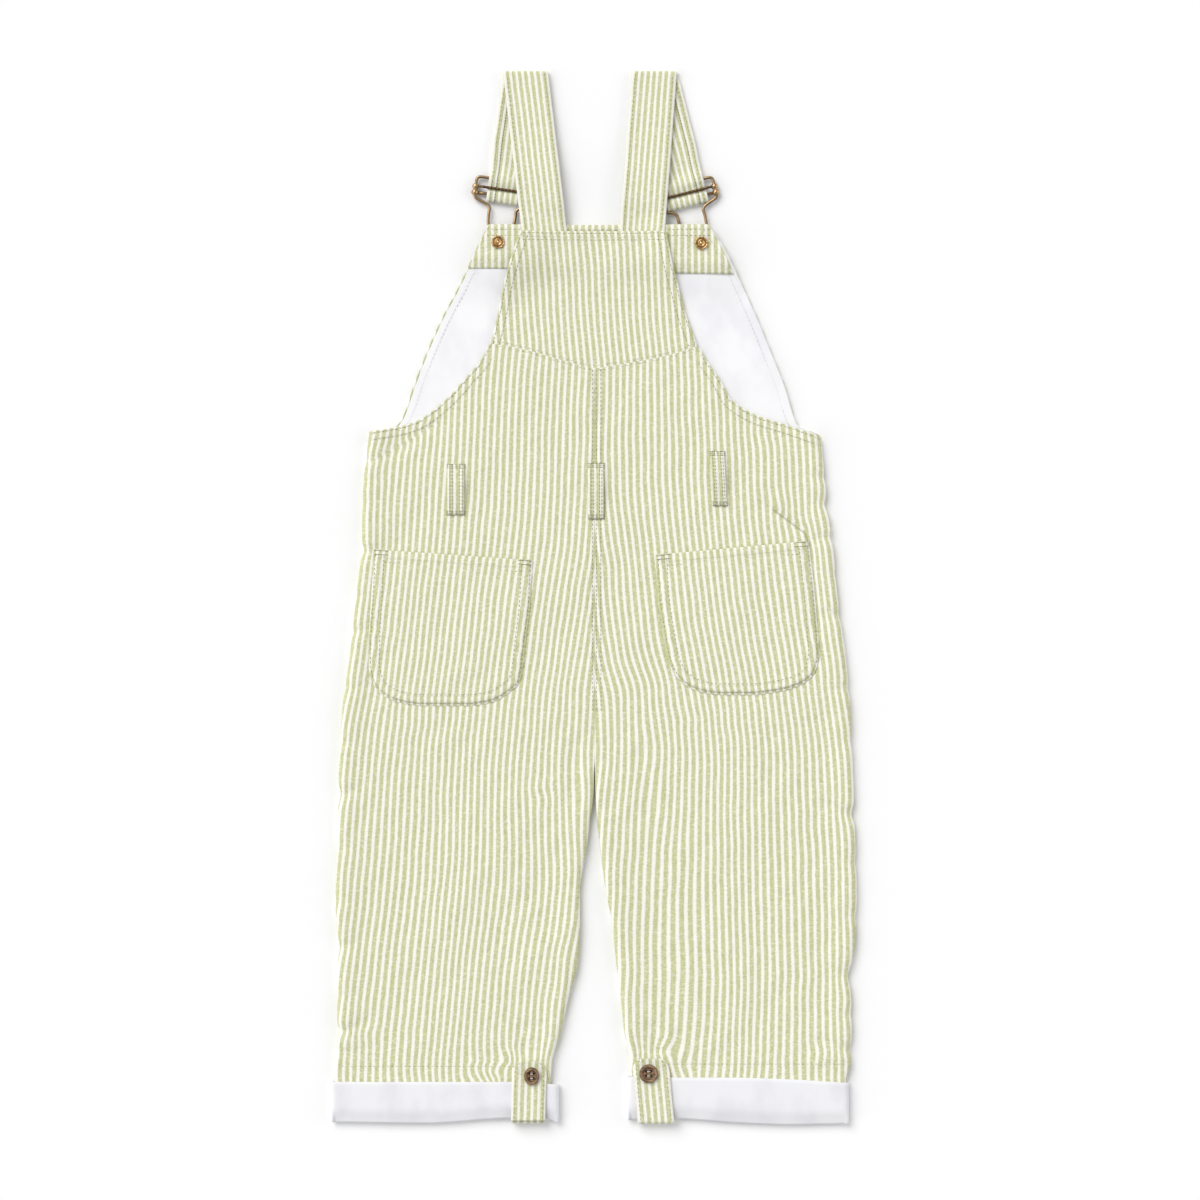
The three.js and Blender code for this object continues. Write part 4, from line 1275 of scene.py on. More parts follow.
@dataclass(frozen=True)
class BrownButton:
    """Brown horn-like button with darker streaks, and painted shade at its marked points."""

    light: Colour = (0.38, 0.24, 0.135, 1)
    dark: Colour = (0.15, 0.085, 0.045, 1)
    # painted shade in the holes, the ring groove and round the rim
    hole_shade: Colour = (0.03, 0.018, 0.01, 1)
    streaks: tuple[float, float, float] = (240, 900, 500)  # how fine they are in x, y and z
    roughness: float = 0.35
    shine: float = 0.3

    def make(self) -> Material:
        """Build the material.

        Returns:
            The material.
        """
        material, w = new_material("brown horn")
        stretched = w.add("ShaderNodeMapping", {0: w.places(), 3: self.streaks}).outputs[0]
        streaks = w.noise(stretched, 1.0, 4.0)
        colour = w.blend(w.between(streaks, 0.35, 0.7), self.dark, self.light)
        w.surface({
            "Base Color": w.blend(w.marked("patina_and_shade"), colour, self.hole_shade),
            "Roughness": self.roughness, "Specular IOR Level": self.shine,
        }, streaks, distance=0.0001, strength=0.4)
        return material


@dataclass(frozen=True)
class Thread:
    """Sewing thread with a twist."""

    name: str
    colour: Colour
    roughness: float = 0.7

    def make(self) -> Material:
        """Build the material.

        Returns:
            The material.
        """
        material, w = new_material(self.name)
        places = w.places()
        spots = w.between(w.noise(places, 900.0, 2.0), 0.3, 0.7)
        darker = tuple(0.72 * c for c in self.colour[:3]) + (1,)
        w.surface({
            "Base Color": w.blend(spots, self.colour, darker), "Roughness": self.roughness,
        }, w.noise(places, 4200.0, 1.0), distance=0.0001)
        return material


class Finishes:
    """All materials of the garment, made once."""

    def __init__(self) -> None:
        """Make the materials."""
        weave, hem = weave_group(), hem_group()
        self.slots = {
            Slot.STRIPED: StripedCloth().make(weave, hem, crease_group()),
            Slot.WHITE: WhiteCloth().make(weave, hem),
            Slot.METAL: AgedMetal(
                "antique brass", (0.50, 0.35, 0.19, 1), (0.10, 0.06, 0.028, 1)
            ).make(),
            Slot.COPPER: AgedMetal(
                "golden copper", (0.70, 0.45, 0.20, 1), (0.13, 0.06, 0.022, 1), 0.3, 500.0
            ).make(),
            Slot.BROWN: BrownButton().make(),
        }
        self.thread = Thread("green thread", (0.36, 0.38, 0.22, 1)).make()
        # A darker copy of the green thread for stitches sunk into the belt loops, bar tacks and
        # strap tails: painted shade.
        self.dark_thread = Thread("shaded green thread", (0.27, 0.30, 0.18, 1)).make()
        # A darker copy of the white cloth for the cuffs: painted shade.
        self.cuff = WhiteCloth((0.83, 0.83, 0.855, 1), (0.75, 0.745, 0.785, 1)).make(weave, hem)
        self.white_thread = Thread("white thread", (0.80, 0.80, 0.78, 1)).make()


@dataclass
class Workshop:
    """What every sub-assembly needs: the finishes, and the rows of stitches still to sew."""

    finishes: Finishes
    rows: dict[str, list[Array]] = field(default_factory=dict)

    def dress(self, piece: Piece, slot: Slot, *nodes: str,
              finish: Material | None = None) -> Piece:
        """Give a piece its material and place it in the frame.

        Args:
            piece: the finished object.
            slot: its material slot.
            nodes: the solids that it stands for.
            finish: a material other than the slot's usual one.

        Returns:
            The piece.
        """
        piece.data.materials.append(finish or self.finishes.slots[slot])
        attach(piece, "root")
        if nodes:
            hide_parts(*nodes)
        log.info("%s: %d faces", piece.name, len(piece.data.polygons))
        return piece

    def cloth(self, piece: Piece, face: Surface, slot: Slot, node: str,
              cut: tuple[float, float], rests_on: Sequence[str]) -> Piece:
        """Dress a piece of cloth.

        Args:
            piece: the finished object.
            face: its outer face; not used.
            slot: its material slot.
            node: the solid that it stands for.
            cut: width and length of the flat cut in millimetres, without turned-in edges; not used.
            rests_on: what it lies on; not used.

        Returns:
            The piece.
        """
        self.dress(piece, slot, node)
        return piece

    def sew(self, name: str, row: Array) -> None:
        """Keep a row of stitches, in millimetres, for one sewing piece."""
        self.rows.setdefault(name, []).append(np.asarray(row, dtype=float))


def flat_path(x: Array | float, y: Array | float) -> Array:
    """A flat path from places across and up, either of which may be one number."""
    return np.stack(np.broadcast_arrays(x, y), axis=1)


def beside(path: Array, inset: float) -> Array:
    """A flat path moved to its right-hand side by an inset.

    Args:
        path: points of the path.
        inset: how far, in millimetres.

    Returns:
        The moved points.
    """
    step = np.gradient(path, axis=0)
    step /= np.maximum(np.linalg.norm(step, axis=1, keepdims=True), 1e-9)
    return path + inset * np.stack([step[:, 1], -step[:, 0]], axis=1)


def edge_distance(x: Array, y: Array, path: Array) -> Array:
    """Distance from each place to a flat path of points.

    Args:
        x: places across, in millimetres.
        y: places up the garment.
        path: points of the path.

    Returns:
        The distance at each place.
    """
    nearest = np.full(x.shape, np.inf)
    for a, b in zip(path[:-1], path[1:]):
        d = b - a
        t = np.clip(((x - a[0]) * d[0] + (y - a[1]) * d[1]) / max(d @ d, 1e-9), 0, 1)
        nearest = np.minimum(nearest, np.hypot(x - a[0] - t * d[0], y - a[1] - t * d[1]))
    return nearest


def lines_between(top: float, bottom: float, step: float = CELL) -> Array:
    """Evenly spaced places from top to bottom."""
    return np.linspace(top, bottom, max(2, round(abs(top - bottom) / step) + 1))


ROLL_STEPS = (0, 0.06, 0.16, 0.3, 0.5, 0.75, 1.05, 1.4)


def panel_x(side: Side, y: Array, middle: int) -> tuple[Array, Array]:
    """Columns of a body panel, close together on its rolled edges.

    Args:
        side: which side the panel is on.
        y: one place up the garment for each line.
        middle: number of columns between the rolled edges.

    Returns:
        The x of each line and column, and its share from the outer to the inner edge.
    """
    edge, inner, reach = side_edge(side, y), inner_edge(side, y), roll_reach(y)
    width = np.abs(inner - edge)
    steps = np.array(ROLL_STEPS)[None, :] * reach[:, None]
    last = steps[:, -1:]
    between = last + (width[:, None] - 2 * last) * np.linspace(0, 1, middle + 2)[None, 1:-1]
    distance = np.hstack([steps, between, width[:, None] - steps[:, ::-1]])
    share = distance / width[:, None]
    x = edge[:, None] - side.sign * distance
    if side is Side.RIGHT:
        return x[:, ::-1], share[:, ::-1]
    return x, share


@dataclass
class BackPanel:
    """One side of the back, from the V seam and the armhole to the hem."""

    side: Side
    cut: tuple[float, float] = (178, 504)
    middle_columns: int = 68
    hem_rows: tuple[float, float] = (-309.0, -307.5)

    def face(self) -> Surface:
        """The panel's outer face.

        Returns:
            The face, with its distances.
        """
        rows = lines_between(LEG_END_Y, WAIST_Y)
        rows = np.insert(rows, -1, WAIST_Y)
        columns, _ = panel_x(self.side, np.full(1, WAIST_Y), self.middle_columns)
        lifted = BACK_TOP.at(columns) - SEAM_GAP - WAIST_Y
        y = rows[:, None] + lifted * smooth(10, WAIST_Y, rows)[:, None]
        y[-2] -= mix(0.05, 0.9, smooth(66, 70, np.abs(columns[0])))  # a sharp edge at the V seam
        x = np.empty_like(y)
        share = np.empty_like(y)
        for j in range(y.shape[1]):
            at, shares = panel_x(self.side, np.minimum(y[:, j], WAIST_Y), self.middle_columns)
            x[:, j], share[:, j] = at[:, j], shares[:, j]
        z = back_top(x, y, self.side)
        across = BACK_GRAIN[self.side].across(x, y, share) - stripe_shift(self.side, x, y)
        seam = np.where(y > CROTCH_Y, np.abs(x - inner_edge(self.side, y)), FAR)
        seam = seam + 9 * smooth(-30, -80, y)
        hem = edge_distance(x, y, self.top_edge())
        z = z + ripple(hem, x, length=8.5)
        hem = hem + 12 * smooth(72, 67, np.abs(x))
        return Surface(np.stack([x, y, z], axis=2), across, y, hem, seam)

    def top_edge(self) -> Array:
        """Armhole and V seam from left to right.

        Returns:
            Points of the edge.
        """
        ends = (-148.5, 0.0) if self.side is Side.LEFT else (0.0, 148.7)
        x = np.linspace(*ends, 90)
        return flat_path(x, BACK_TOP.at(x) - SEAM_GAP)

    def build(self, shop: Workshop) -> None:
        """Make the panel and mark its rows of stitches.

        Args:
            shop: the finishes, and the rows of stitches.
        """
        name = f"back_{self.side.value}"
        face = self.face()
        piece = cloth_shell(f"{name}_cloth", face, level_sides=True)
        shop.cloth(piece, face, Slot.STRIPED, name, self.cut, [f"front_leg_{self.side.value}"])
        for inset in HEM_ROWS:
            path = beside(self.top_edge()[2:-2], inset)
            armhole = np.abs(path[:, 0]) > V_SEAM_X
            self.row(shop, path[armhole])
            if inset == HEM_ROWS[0]:
                self.row(shop, path[~armhole & (np.abs(path[:, 0]) > 0.8)], "sewing_hems")
        for x in {Side.LEFT: [-1.2], Side.RIGHT: SEAM_ROWS}[self.side]:
            self.row(shop, flat_path(x, lines_between(BACK_TOP.at(x) - 2, -74, 2.0)))
        y = self.hem_rows[self.side.column]
        x = np.linspace(side_edge(self.side, y), inner_edge(self.side, y), 60)[2:-2]
        self.row(shop, flat_path(x, y), "sewing_hems")

    def row(self, shop: Workshop, path: Array, name: str = "sewing_back") -> None:
        """Sew a flat path onto the panel."""
        z = back_top(path[:, 0], path[:, 1], self.side) + STITCH_LIFT
        shop.sew(name, np.column_stack([path, z]))


@dataclass
class FrontLeg:
    """One side of the front, from the waist seam to the hem."""

    side: Side
    cut: tuple[float, float] = (178, 416)
    middle_columns: int = 62

    def build(self, shop: Workshop) -> None:
        """Make the panel and mark its rows of stitches.

        Args:
            shop: the finishes, and the rows of stitches.
        """
        name = f"front_leg_{self.side.value}"
        y = lines_between(WAIST_SEAM_Y - GAP / 2, LEG_END_Y, 2.4)
        x, share = panel_x(self.side, y, self.middle_columns)
        y = np.repeat(y[:, None], x.shape[1], axis=1)
        z = front_bottom(x, y, self.side)
        across = FRONT_GRAIN[self.side].across(x, y, share) - STRIPE_WAVES.at(x + 40, y)
        across = across - STRIPE_WOBBLE.at(x + 40, y) - pinched(self.side, x, y)
        seam = np.where(y > CROTCH_Y, np.abs(x - inner_edge(self.side, y)), FAR)
        face = Surface(np.stack([x, y, z], axis=2), across, y, WAIST_SEAM_Y - y, seam)
        piece = cloth_shell(f"{name}_cloth", face, level_sides=True)
        shop.cloth(piece, face, Slot.STRIPED, name, self.cut, ["bib_lining"])
        waist = np.linspace(side_edge(self.side, WAIST_SEAM_Y), 0, 70)[3:-1]
        middle = lines_between(WAIST_SEAM_Y - 2, CROTCH_Y + 3, 2.0)
        rows = [flat_path(waist, WAIST_SEAM_Y - down) for down in HEM_ROWS]
        rows += [flat_path(x, middle) for x in ([-1.3] if self.side is Side.LEFT else SEAM_ROWS)]
        for path in rows:
            z = front_bottom(path[:, 0], path[:, 1], self.side)
            shop.sew("sewing_front", np.column_stack([path, np.maximum(z, FRONT_STITCH_Z)]))


@dataclass
class BibLayer:
    """One layer of the front bib: where it lies and what it is made of."""

    node: str
    slot: Slot
    top: float
    bottom: float
    left_inset: float
    right_inset: float
    layers: int
    cut: tuple[float, float]


@dataclass
class Bib:
    """The front bib under the back: outer cloth, white lining and striped facing."""

    columns: int = 128
    layers: list[BibLayer] = field(default_factory=lambda: [
        BibLayer("front_bib", Slot.STRIPED, BIB_TOP_Y, WAIST_SEAM_Y + GAP / 2, 0, 0, 0, (305, 168)),
        BibLayer("bib_lining", Slot.WHITE, BIB_TOP_Y - 1, WAIST_SEAM_Y + 2, 1.5, 0.35, 1,
                 (303, 164)),
        BibLayer("bib_facing", Slot.STRIPED, BIB_TOP_Y + 0.1, FACING_LOW_Y, 1.2, 0.9, 2, (190, 33)),
    ])
    facing_drop: float = -3.6  # the facing's lower edge is lower on the right

    @staticmethod
    def edge(side: Side, y: Array) -> Array:
        """The bib's own edge, and the body's below it."""
        return np.where(y >= BIB.key[0], BIB.at(y, side.column), side_edge(side, y))

    def face(self, layer: BibLayer) -> Surface:
        """The outer face of a layer.

        Args:
            layer: the layer.

        Returns:
            The face, with its wall.
        """
        rows = lines_between(layer.top, layer.bottom, 2.0 if layer.layers < 2 else 1.6)
        fine = np.array([0, 0.002, 0.006, 0.012])
        even = np.linspace(0.02, 0.98, self.columns)
        shares = np.concatenate([fine, even, 1 - fine[::-1]])
        y = np.repeat(rows[:, None], len(shares), axis=1)
        left, right = self.edge(Side.LEFT, y), self.edge(Side.RIGHT, y)
        waist = 6 * smooth(WAIST_Y + 2, WAIST_Y - 6, y) if layer.layers else 0
        x = mix(left + layer.left_inset + waist, right - layer.right_inset - waist, shares[None, :])
        lift = bib_lift(x, y)
        if layer.layers == 0:
            left_z, right_z = (front_bottom(x, y, side) for side in Side)
            z = np.where(x < 0, left_z, right_z) + lift
            across = x + 0.6 * STRIPE_WAVES.at(x, y + 90)
        else:
            small = np.clip(WHITE_WAVES.at(x, y), -0.25, 0.3) * smooth(BIB_TOP_Y, BIB_TOP_Y - 12, y)
            z = lift + layer.layers * BIB_LAYER + CLOTH + small
            across = x + 1.4 + 0.5 * STRIPE_WAVES.at(x, y + 30)
        if layer.layers == 2:
            share = (rows[0] - y) / (rows[0] - rows[-1])
            drop = self.facing_drop * smooth(-80, 95, x)
            y = y + share * drop
            low = np.abs(y - (FACING_LOW_Y + drop))
            z = z - 1.42 * smooth(8, 0, low)
            wall = mix(CLOTH, 0.22, smooth(6, 0, low))
            hem = np.full(x.shape, FAR)
        else:
            hem = np.minimum(x - left, right - x)
            wall = np.full(x.shape, CLOTH)
        order = slice(None) if layer.layers == 0 else slice(None, None, -1)
        points = np.stack([x, y, z], axis=2)[order]
        return Surface(points, across[order], y[order], hem[order], wall=wall[order])

    def build(self, shop: Workshop) -> None:
        """Make the three layers and their rows of stitches.

        Args:
            shop: the finishes, and the rows of stitches.
        """
        for layer in self.layers:
            face = self.face(layer)
            piece = cloth_shell(f"{layer.node}_cloth", face)
            under = {0: "front_leg_left", 1: "front_bib", 2: "bib_lining"}[layer.layers]
            shop.cloth(piece, face, layer.slot, layer.node, layer.cut, [under])
        y = lines_between(BIB_TOP_Y - 4, WAIST_Y + 3, 2.0)
        for side in Side:
            x = self.edge(side, y) - side.sign * LINING_ROW
            layers = np.where(y > FACING_LOW_Y - 3, 2, 1)  # two where the facing lies on top
            z = bib_lift(x, y) + layers * BIB_LAYER + CLOTH + LOOSE_LIFT
            shop.sew("sewing_lining", np.column_stack([x, y, z]))
        x = np.linspace(-70, 75, 80)
        for down in (1.6, 5.6):
            at = np.full(len(x), BIB_TOP_Y - 1.6 - down)
            z = bib_lift(x, at) + 2 * BIB_LAYER + CLOTH + 0.12
            shop.sew("sewing_bib", np.column_stack([x, at, z]))
            z = front_bottom(x, at, Side.LEFT) + bib_lift(x, at)
            shop.sew("sewing_front", np.column_stack([x, at, np.maximum(z, FRONT_STITCH_Z)]))


@dataclass
class Yoke:
    """The back's upper piece, where the straps are sewn in."""

    cut: tuple[float, float] = (142, 96)
    columns: int = 66
    lines: int = 46

    def build(self, shop: Workshop) -> None:
        """Make the yoke and its rows of stitches.

        Args:
            shop: the finishes, and the rows of stitches.
        """
        u = np.linspace(0, 1, self.columns)[None, :]
        v = np.insert(np.linspace(0, 1, self.lines), 1, 0.0006)[:, None]
        low = BACK_TOP.at(mix(-68.3, 67.6, u)) + SEAM_GAP
        y = mix(low, YOKE_TOP_Y, v)
        x = mix(YOKE.at(y, 0), YOKE.at(y, 1), u)
        z = yoke_top(x, y)
        wobble = 0.7 * STRIPE_WAVES.at(x, y) + STRIPE_WOBBLE.at(x, y)
        across = YOKE_GRAIN.across(x, y) - wobble
        sides = np.minimum(x - YOKE.at(y, 0), YOKE.at(y, 1) - x) * 0.97
        face = Surface(np.stack([x, y, z], axis=2), across, y, sides, YOKE_TOP_Y - y)
        piece = cloth_shell("back_yoke_cloth", face)
        shop.cloth(piece, face, Slot.STRIPED, "back_yoke", self.cut, ["bib_lining"])
        at = lines_between(168, YOKE_TOP_Y - 2, 2.0)
        left, right = flat_path(YOKE.at(at, 0), at), flat_path(YOKE.at(at, 1), at)[::-1]
        for inset in HEM_ROWS:
            self.row(shop, beside(left, inset))
            self.row(shop, beside(right, inset))
            self.row(shop, flat_path(np.linspace(-46, 44.5, 60), YOKE_TOP_Y - inset))
        x = np.linspace(-66, 65.5, 80)
        self.row(shop, flat_path(x, BACK_TOP.at(x) + 1.5), "sewing_hems")

    @staticmethod
    def row(shop: Workshop, path: Array, name: str = "sewing_back") -> None:
        """Sew a flat path onto the yoke."""
        z = yoke_top(path[:, 0], path[:, 1]) + STITCH_LIFT
        shop.sew(name, np.column_stack([path, z]))


@dataclass
class Pocket:
    """A patch pocket on the back."""

    side: Side
    outline: Curve
    stripe_offset: float
    cut: tuple[float, float] = (112, 104)
    columns: int = 62
    lines: int = 66

    def place(self, u: Array, row: Array) -> tuple[Array, Array]:
        """Flat place at a share across and a height down the outline."""
        x = mix(self.outline.at(row, 0), self.outline.at(row, 1), u)
        return x, row + self.outline.at(row, 2) * (1 - 2 * u)

    def height(self, x: Array, y: Array) -> Array:
        """Height of the pocket's outer face."""
        return back_top(x, y, self.side) + LAYER + POCKET_EASE

    def build(self, shop: Workshop) -> None:
        """Make the pocket and its rows of stitches.

        Args:
            shop: the finishes, and the rows of stitches.
        """
        top, low = self.outline.key[-1], self.outline.key[0]
        v = np.linspace(1, 0, self.lines)[:, None]
        row = mix(top, low, np.sin(v * math.pi / 2))
        edges = np.array([0, 0.004, 0.012])
        u = np.concatenate([edges, np.linspace(0.025, 0.975, self.columns - 6), 1 - edges[::-1]])
        x, y = self.place(u[None, :], row)
        path = self.path(top, low)
        hem = edge_distance(x, y, path)
        bulge = 0.3 * smooth(0, 25, hem) - self.edge_drop(hem)
        wall = mix(CLOTH, 0.3, smooth(3.2, 0, hem))
        z = self.height(x, y) + bulge + ripple(hem, x + y, length=8.0, reach=8.0)
        share = (x - side_edge(self.side, y)) / (inner_edge(self.side, y) - side_edge(self.side, y))
        shift = stripe_shift(self.side, x, y) + ripple(hem, y, length=9.0, reach=8.0)
        across = BACK_GRAIN[self.side].across(x, y, share) - shift
        face = Surface(np.stack([x, y, z], axis=2), across + self.stripe_offset, y, hem,
                       np.abs(y - self.top_y(x)) * 0.74, wall)
        name = f"back_pocket_{self.side.value}"
        shop.cloth(cloth_shell(f"{name}_cloth", face), face, Slot.STRIPED, name, self.cut,
                   [f"back_{self.side.value}"])
        for inset in POCKET_ROWS:
            line = beside(path[::-1], inset)
            keep = line[:, 1] < self.top_y(line[:, 0]) - 1
            self.row(shop, line[keep], float(self.edge_drop(inset)))
        x = np.linspace(self.outline.at(top, 0) + 8, self.outline.at(top, 1) - 8, 50)
        self.row(shop, flat_path(x, self.top_y(x) - 8))
        for start in (self.outline.at(top, 0) + 1, self.outline.at(top, 1) - 9.5):
            for down in (0.5, 3.1):
                x = np.linspace(start, start + 8.5, 12)
                y = self.top_y(x) - down
                z = self.height(x, y) + LOOSE_LIFT
                shop.sew("sewing_tacks", np.column_stack([x, y, z]))

    def top_y(self, x: Array) -> Array:
        """The pocket mouth's y at a place across.

        Args:
            x: places across, in millimetres.

        Returns:
            Its y at each place.
        """
        top = self.outline.key[-1]
        left, right = self.outline.at(top, 0), self.outline.at(top, 1)
        u = (x - left) / (right - left)
        return top + self.outline.at(top, 2) * (1 - 2 * u)

    def path(self, top: float, low: float) -> Array:
        """The sewn outline: down the left, round the bottom and up the right.

        Args:
            top: y of the mouth.
            low: y of the lowest place.

        Returns:
            Points of the path.
        """
        down = mix(top, low, np.sin(np.linspace(0, math.pi / 2, 40)))
        base = self.place(np.linspace(0, 1, 14)[1:-1], np.full(12, low))
        runs = (self.place(0, down), base, self.place(1, down[::-1]))
        return np.vstack([flat_path(*run) for run in runs])

    @staticmethod
    def edge_drop(hem: Array | float) -> Array:
        """How far the pocket's edge is pressed down by its seam."""
        return 1.2 * smooth(3.2, 0, hem)

    def row(self, shop: Workshop, path: Array, drop: float = 0.0) -> None:
        """Sew a flat path onto the pocket."""
        z = self.height(path[:, 0], path[:, 1]) + LOOSE_LIFT - drop
        shop.sew("sewing_pockets", np.column_stack([path, z]))


@dataclass
class BeltLoop:
    """A belt loop sewn down at both ends."""

    name: str
    x_top: float
    x_bottom: float
    top: float
    bottom: float
    width: float
    bow: float = 1.1

    def build(self, shop: Workshop) -> None:
        """Make the loop and its rows of stitches.

        Args:
            shop: the finishes, and the rows of stitches.
        """
        side = Side.LEFT if self.x_top < 0 else Side.RIGHT
        t = np.linspace(0, 1, 30)[:, None]
        w = np.linspace(-0.5, 0.5, 12)[None, :] * self.width
        y = mix(self.bottom, self.top, t) + 0 * w
        middle = mix(self.x_bottom, self.x_top, t)
        x = middle + w
        base = np.maximum(back_top(x, y, side, 0.5), back_top(middle + 0 * w, y, side, 0.5))
        z = base + LAYER + self.bow * np.sin(math.pi * t) ** 2
        z = z - 0.35 * (2 * w / self.width) ** 8
        ends = smooth(0.12, 0, np.minimum(t, 1 - t)) + 0 * w
        z = z - 0.5 * ends
        face = Surface(np.stack([x, y, z], axis=2), w + 1.1 + 0 * t, y, FAR + 0 * x,
                       (self.width / 2 - np.abs(w)) + 0 * t, mix(CLOTH, 0.6, ends))
        node = f"belt_loop_{self.name}"
        shop.cloth(cloth_shell(f"{node}_cloth", face), face, Slot.STRIPED, node,
                   (max(self.width, 10.1), self.top - self.bottom + 2), [f"back_{side.value}"])
        for column in (0.14, 0.3, 0.7, 0.86):
            shop.sew("sewing_loops", face.row_at(column, 0.06))
        for line in (0, 1, 2, -3, -2, -1):
            shop.sew("sewing_loops", face.points[line] + [0, 0, LOOSE_LIFT])


STRAP_UPPER = Curve([
    (231.5, 4.4), (245, 6.5), (258, 6.9), (276, 6.6), (294, 4.9), (312, 3.7), (330, 3.0),
    (342, 2.8),
])
STRAP_LOWER = Curve([
    (81, 0.8), (60, 0.9), (48, 1.2), (40, 2.0), (24, 2.1), (18, 3.0), (14.2, 4.15), (12, 4.2),
    (9.5, 3.5), (7.2, 2.95), (5.6, 3.1), (4, 3.85), (2.4, 4.3),
])


@dataclass
class Strap:
    """A shoulder strap: up from the yoke, folded over, down to the buckle and back under."""

    side: Side
    fold_turn: float = 1.0
    fold_middle: float = 1.8
    columns: int = 16
    cut: tuple[float, float] = (29.7, 264)

    def build(self, shop: Workshop) -> None:
        """Make the strap and its rows of stitches.

        Args:
            shop: the finishes, and the rows of stitches.
        """
        ends = STRAPS[self.side]
        start, fold, end = (np.array(p) for p in (ends.start, ends.fold, ends.end))
        up = (fold - start) / np.linalg.norm(fold - start)
        down = (fold - end) / np.linalg.norm(fold - end)
        length = np.linalg.norm(fold - start)
        shares = np.linspace(0, 0.97, 54)
        # Middle, height (none where it drapes), direction and width down the strap
        path = [(start + share * length * up, math.nan, up, STRAP_WIDTH) for share in shares]
        for angle in np.radians(np.linspace(90, -90, 11)):
            turned = np.array([0, self.fold_turn * math.cos(angle) - self.fold_turn])
            height = self.fold_middle + self.fold_turn * math.sin(angle)
            path.append((fold + turned, height, np.array([0.0, 1.0]), STRAP_WIDTH))
        for s in lines_between(81, 2.4, 1.5):
            w = mix(STRAP_IN_BUCKLE, STRAP_WIDTH, smooth(16, 40, s))
            path.append((end + s * down, float(STRAP_LOWER.at(s)), down, float(w)))
        turn = WIRE / 2 + GAP + CLOTH / 2
        for angle in np.radians(np.linspace(78, -90, 15)):
            height = max(4.3 - turn + turn * math.sin(angle), CLOTH / 2)
            at = BAR_LOW - 2.4 * turn * math.cos(angle)
            path.append((end + at * down, height, down, STRAP_IN_BUCKLE))
        for s in lines_between(4, STRAP_TAIL, 2.5):
            path.append((end + s * down, CLOTH / 2, down, STRAP_IN_BUCKLE))
        centre, level, axis, width = (np.array(column) for column in zip(*path))
        level = level[:, None]
        w = np.linspace(-0.5, 0.5, self.columns)[None, :] * width[:, None]
        x = centre[:, :1] + axis[:, 1:] * w
        y = centre[:, 1:] - axis[:, :1] * w
        on_bib = bib_lift(x, y) + 2 * BIB_LAYER + LAYER + CLOTH / 2 + LOOSE_LIFT
        draped = mix(on_bib, STRAP_UPPER.at(y), smooth(246, 262, y))
        draped = draped + 0.25 * np.clip(BACK_WAVES.at(x + 60, y), -0.2, 0.8)
        z = np.where(np.isnan(level), draped, np.nan_to_num(level))
        creased = np.zeros_like(level)
        creased[len(shares) + 14:-40] = 1
        outside = self.side.sign * w
        crease = 0.5 * smooth(8, 9, outside) - 0.7 * bell((outside - 8.4) / 0.7)
        z = np.maximum(z + crease * creased, CLOTH / 2)
        steps = np.hypot(*np.diff(centre, axis=0).T)
        along = np.concatenate([[0], np.cumsum(np.maximum(steps, 0.3))])[:, None] + 0 * w
        stripes = 1.1 * w * STRAP_WIDTH / width[:, None] + 2.2
        stripes = stripes - 0.6 * STRIPE_WOBBLE.at(x + 30, y)
        inset = width[:, None] / 2 - np.abs(w)
        face = Surface(np.stack([x, y, z], axis=2), stripes, along, FAR + 0 * w, inset)
        name = f"strap_{self.side.value}"
        shop.cloth(cloth_shell(f"{name}_cloth", face, share=0.5), face, Slot.STRIPED, name,
                   self.cut, ["bib_facing", f"buckle_slide_{self.side.value}"])
        bend = len(shares)
        for column in (0.085, 0.915):
            shop.sew("sewing_straps", face.row_at(column, CLOTH / 2 + STITCH_LIFT, slice(2, bend)))
            lower = slice(bend + 11, len(centre) - 24)
            shop.sew("sewing_straps", face.row_at(column, -CLOTH / 2 - STITCH_LIFT, lower))
        # A thick row of dark thread along the lower strap's crease, where the tail's edge lies:
        # painted shade for that edge.
        column = 0.5 + self.side.sign * 0.3
        shop.sew("tail_shade_stitches", face.row_at(column, -CLOTH / 2 - LOOSE_LIFT, lower))


CUFFS = {
    Side.LEFT: Curve([
        (-173.6, -319.4, -345.8), (-110, -319.4, -346.6), (-56, -319.4, -343.4),
        (-34, -320.4, -343.6), (-23.4, -321.4, -346.6),
    ]),
    Side.RIGHT: Curve([
        (21.3, -316.1, -344.2), (56, -316.5, -343.8), (92, -316.6, -346.2),
        (130, -317.8, -347.6), (167.6, -320.1, -346.8),
    ]),
}


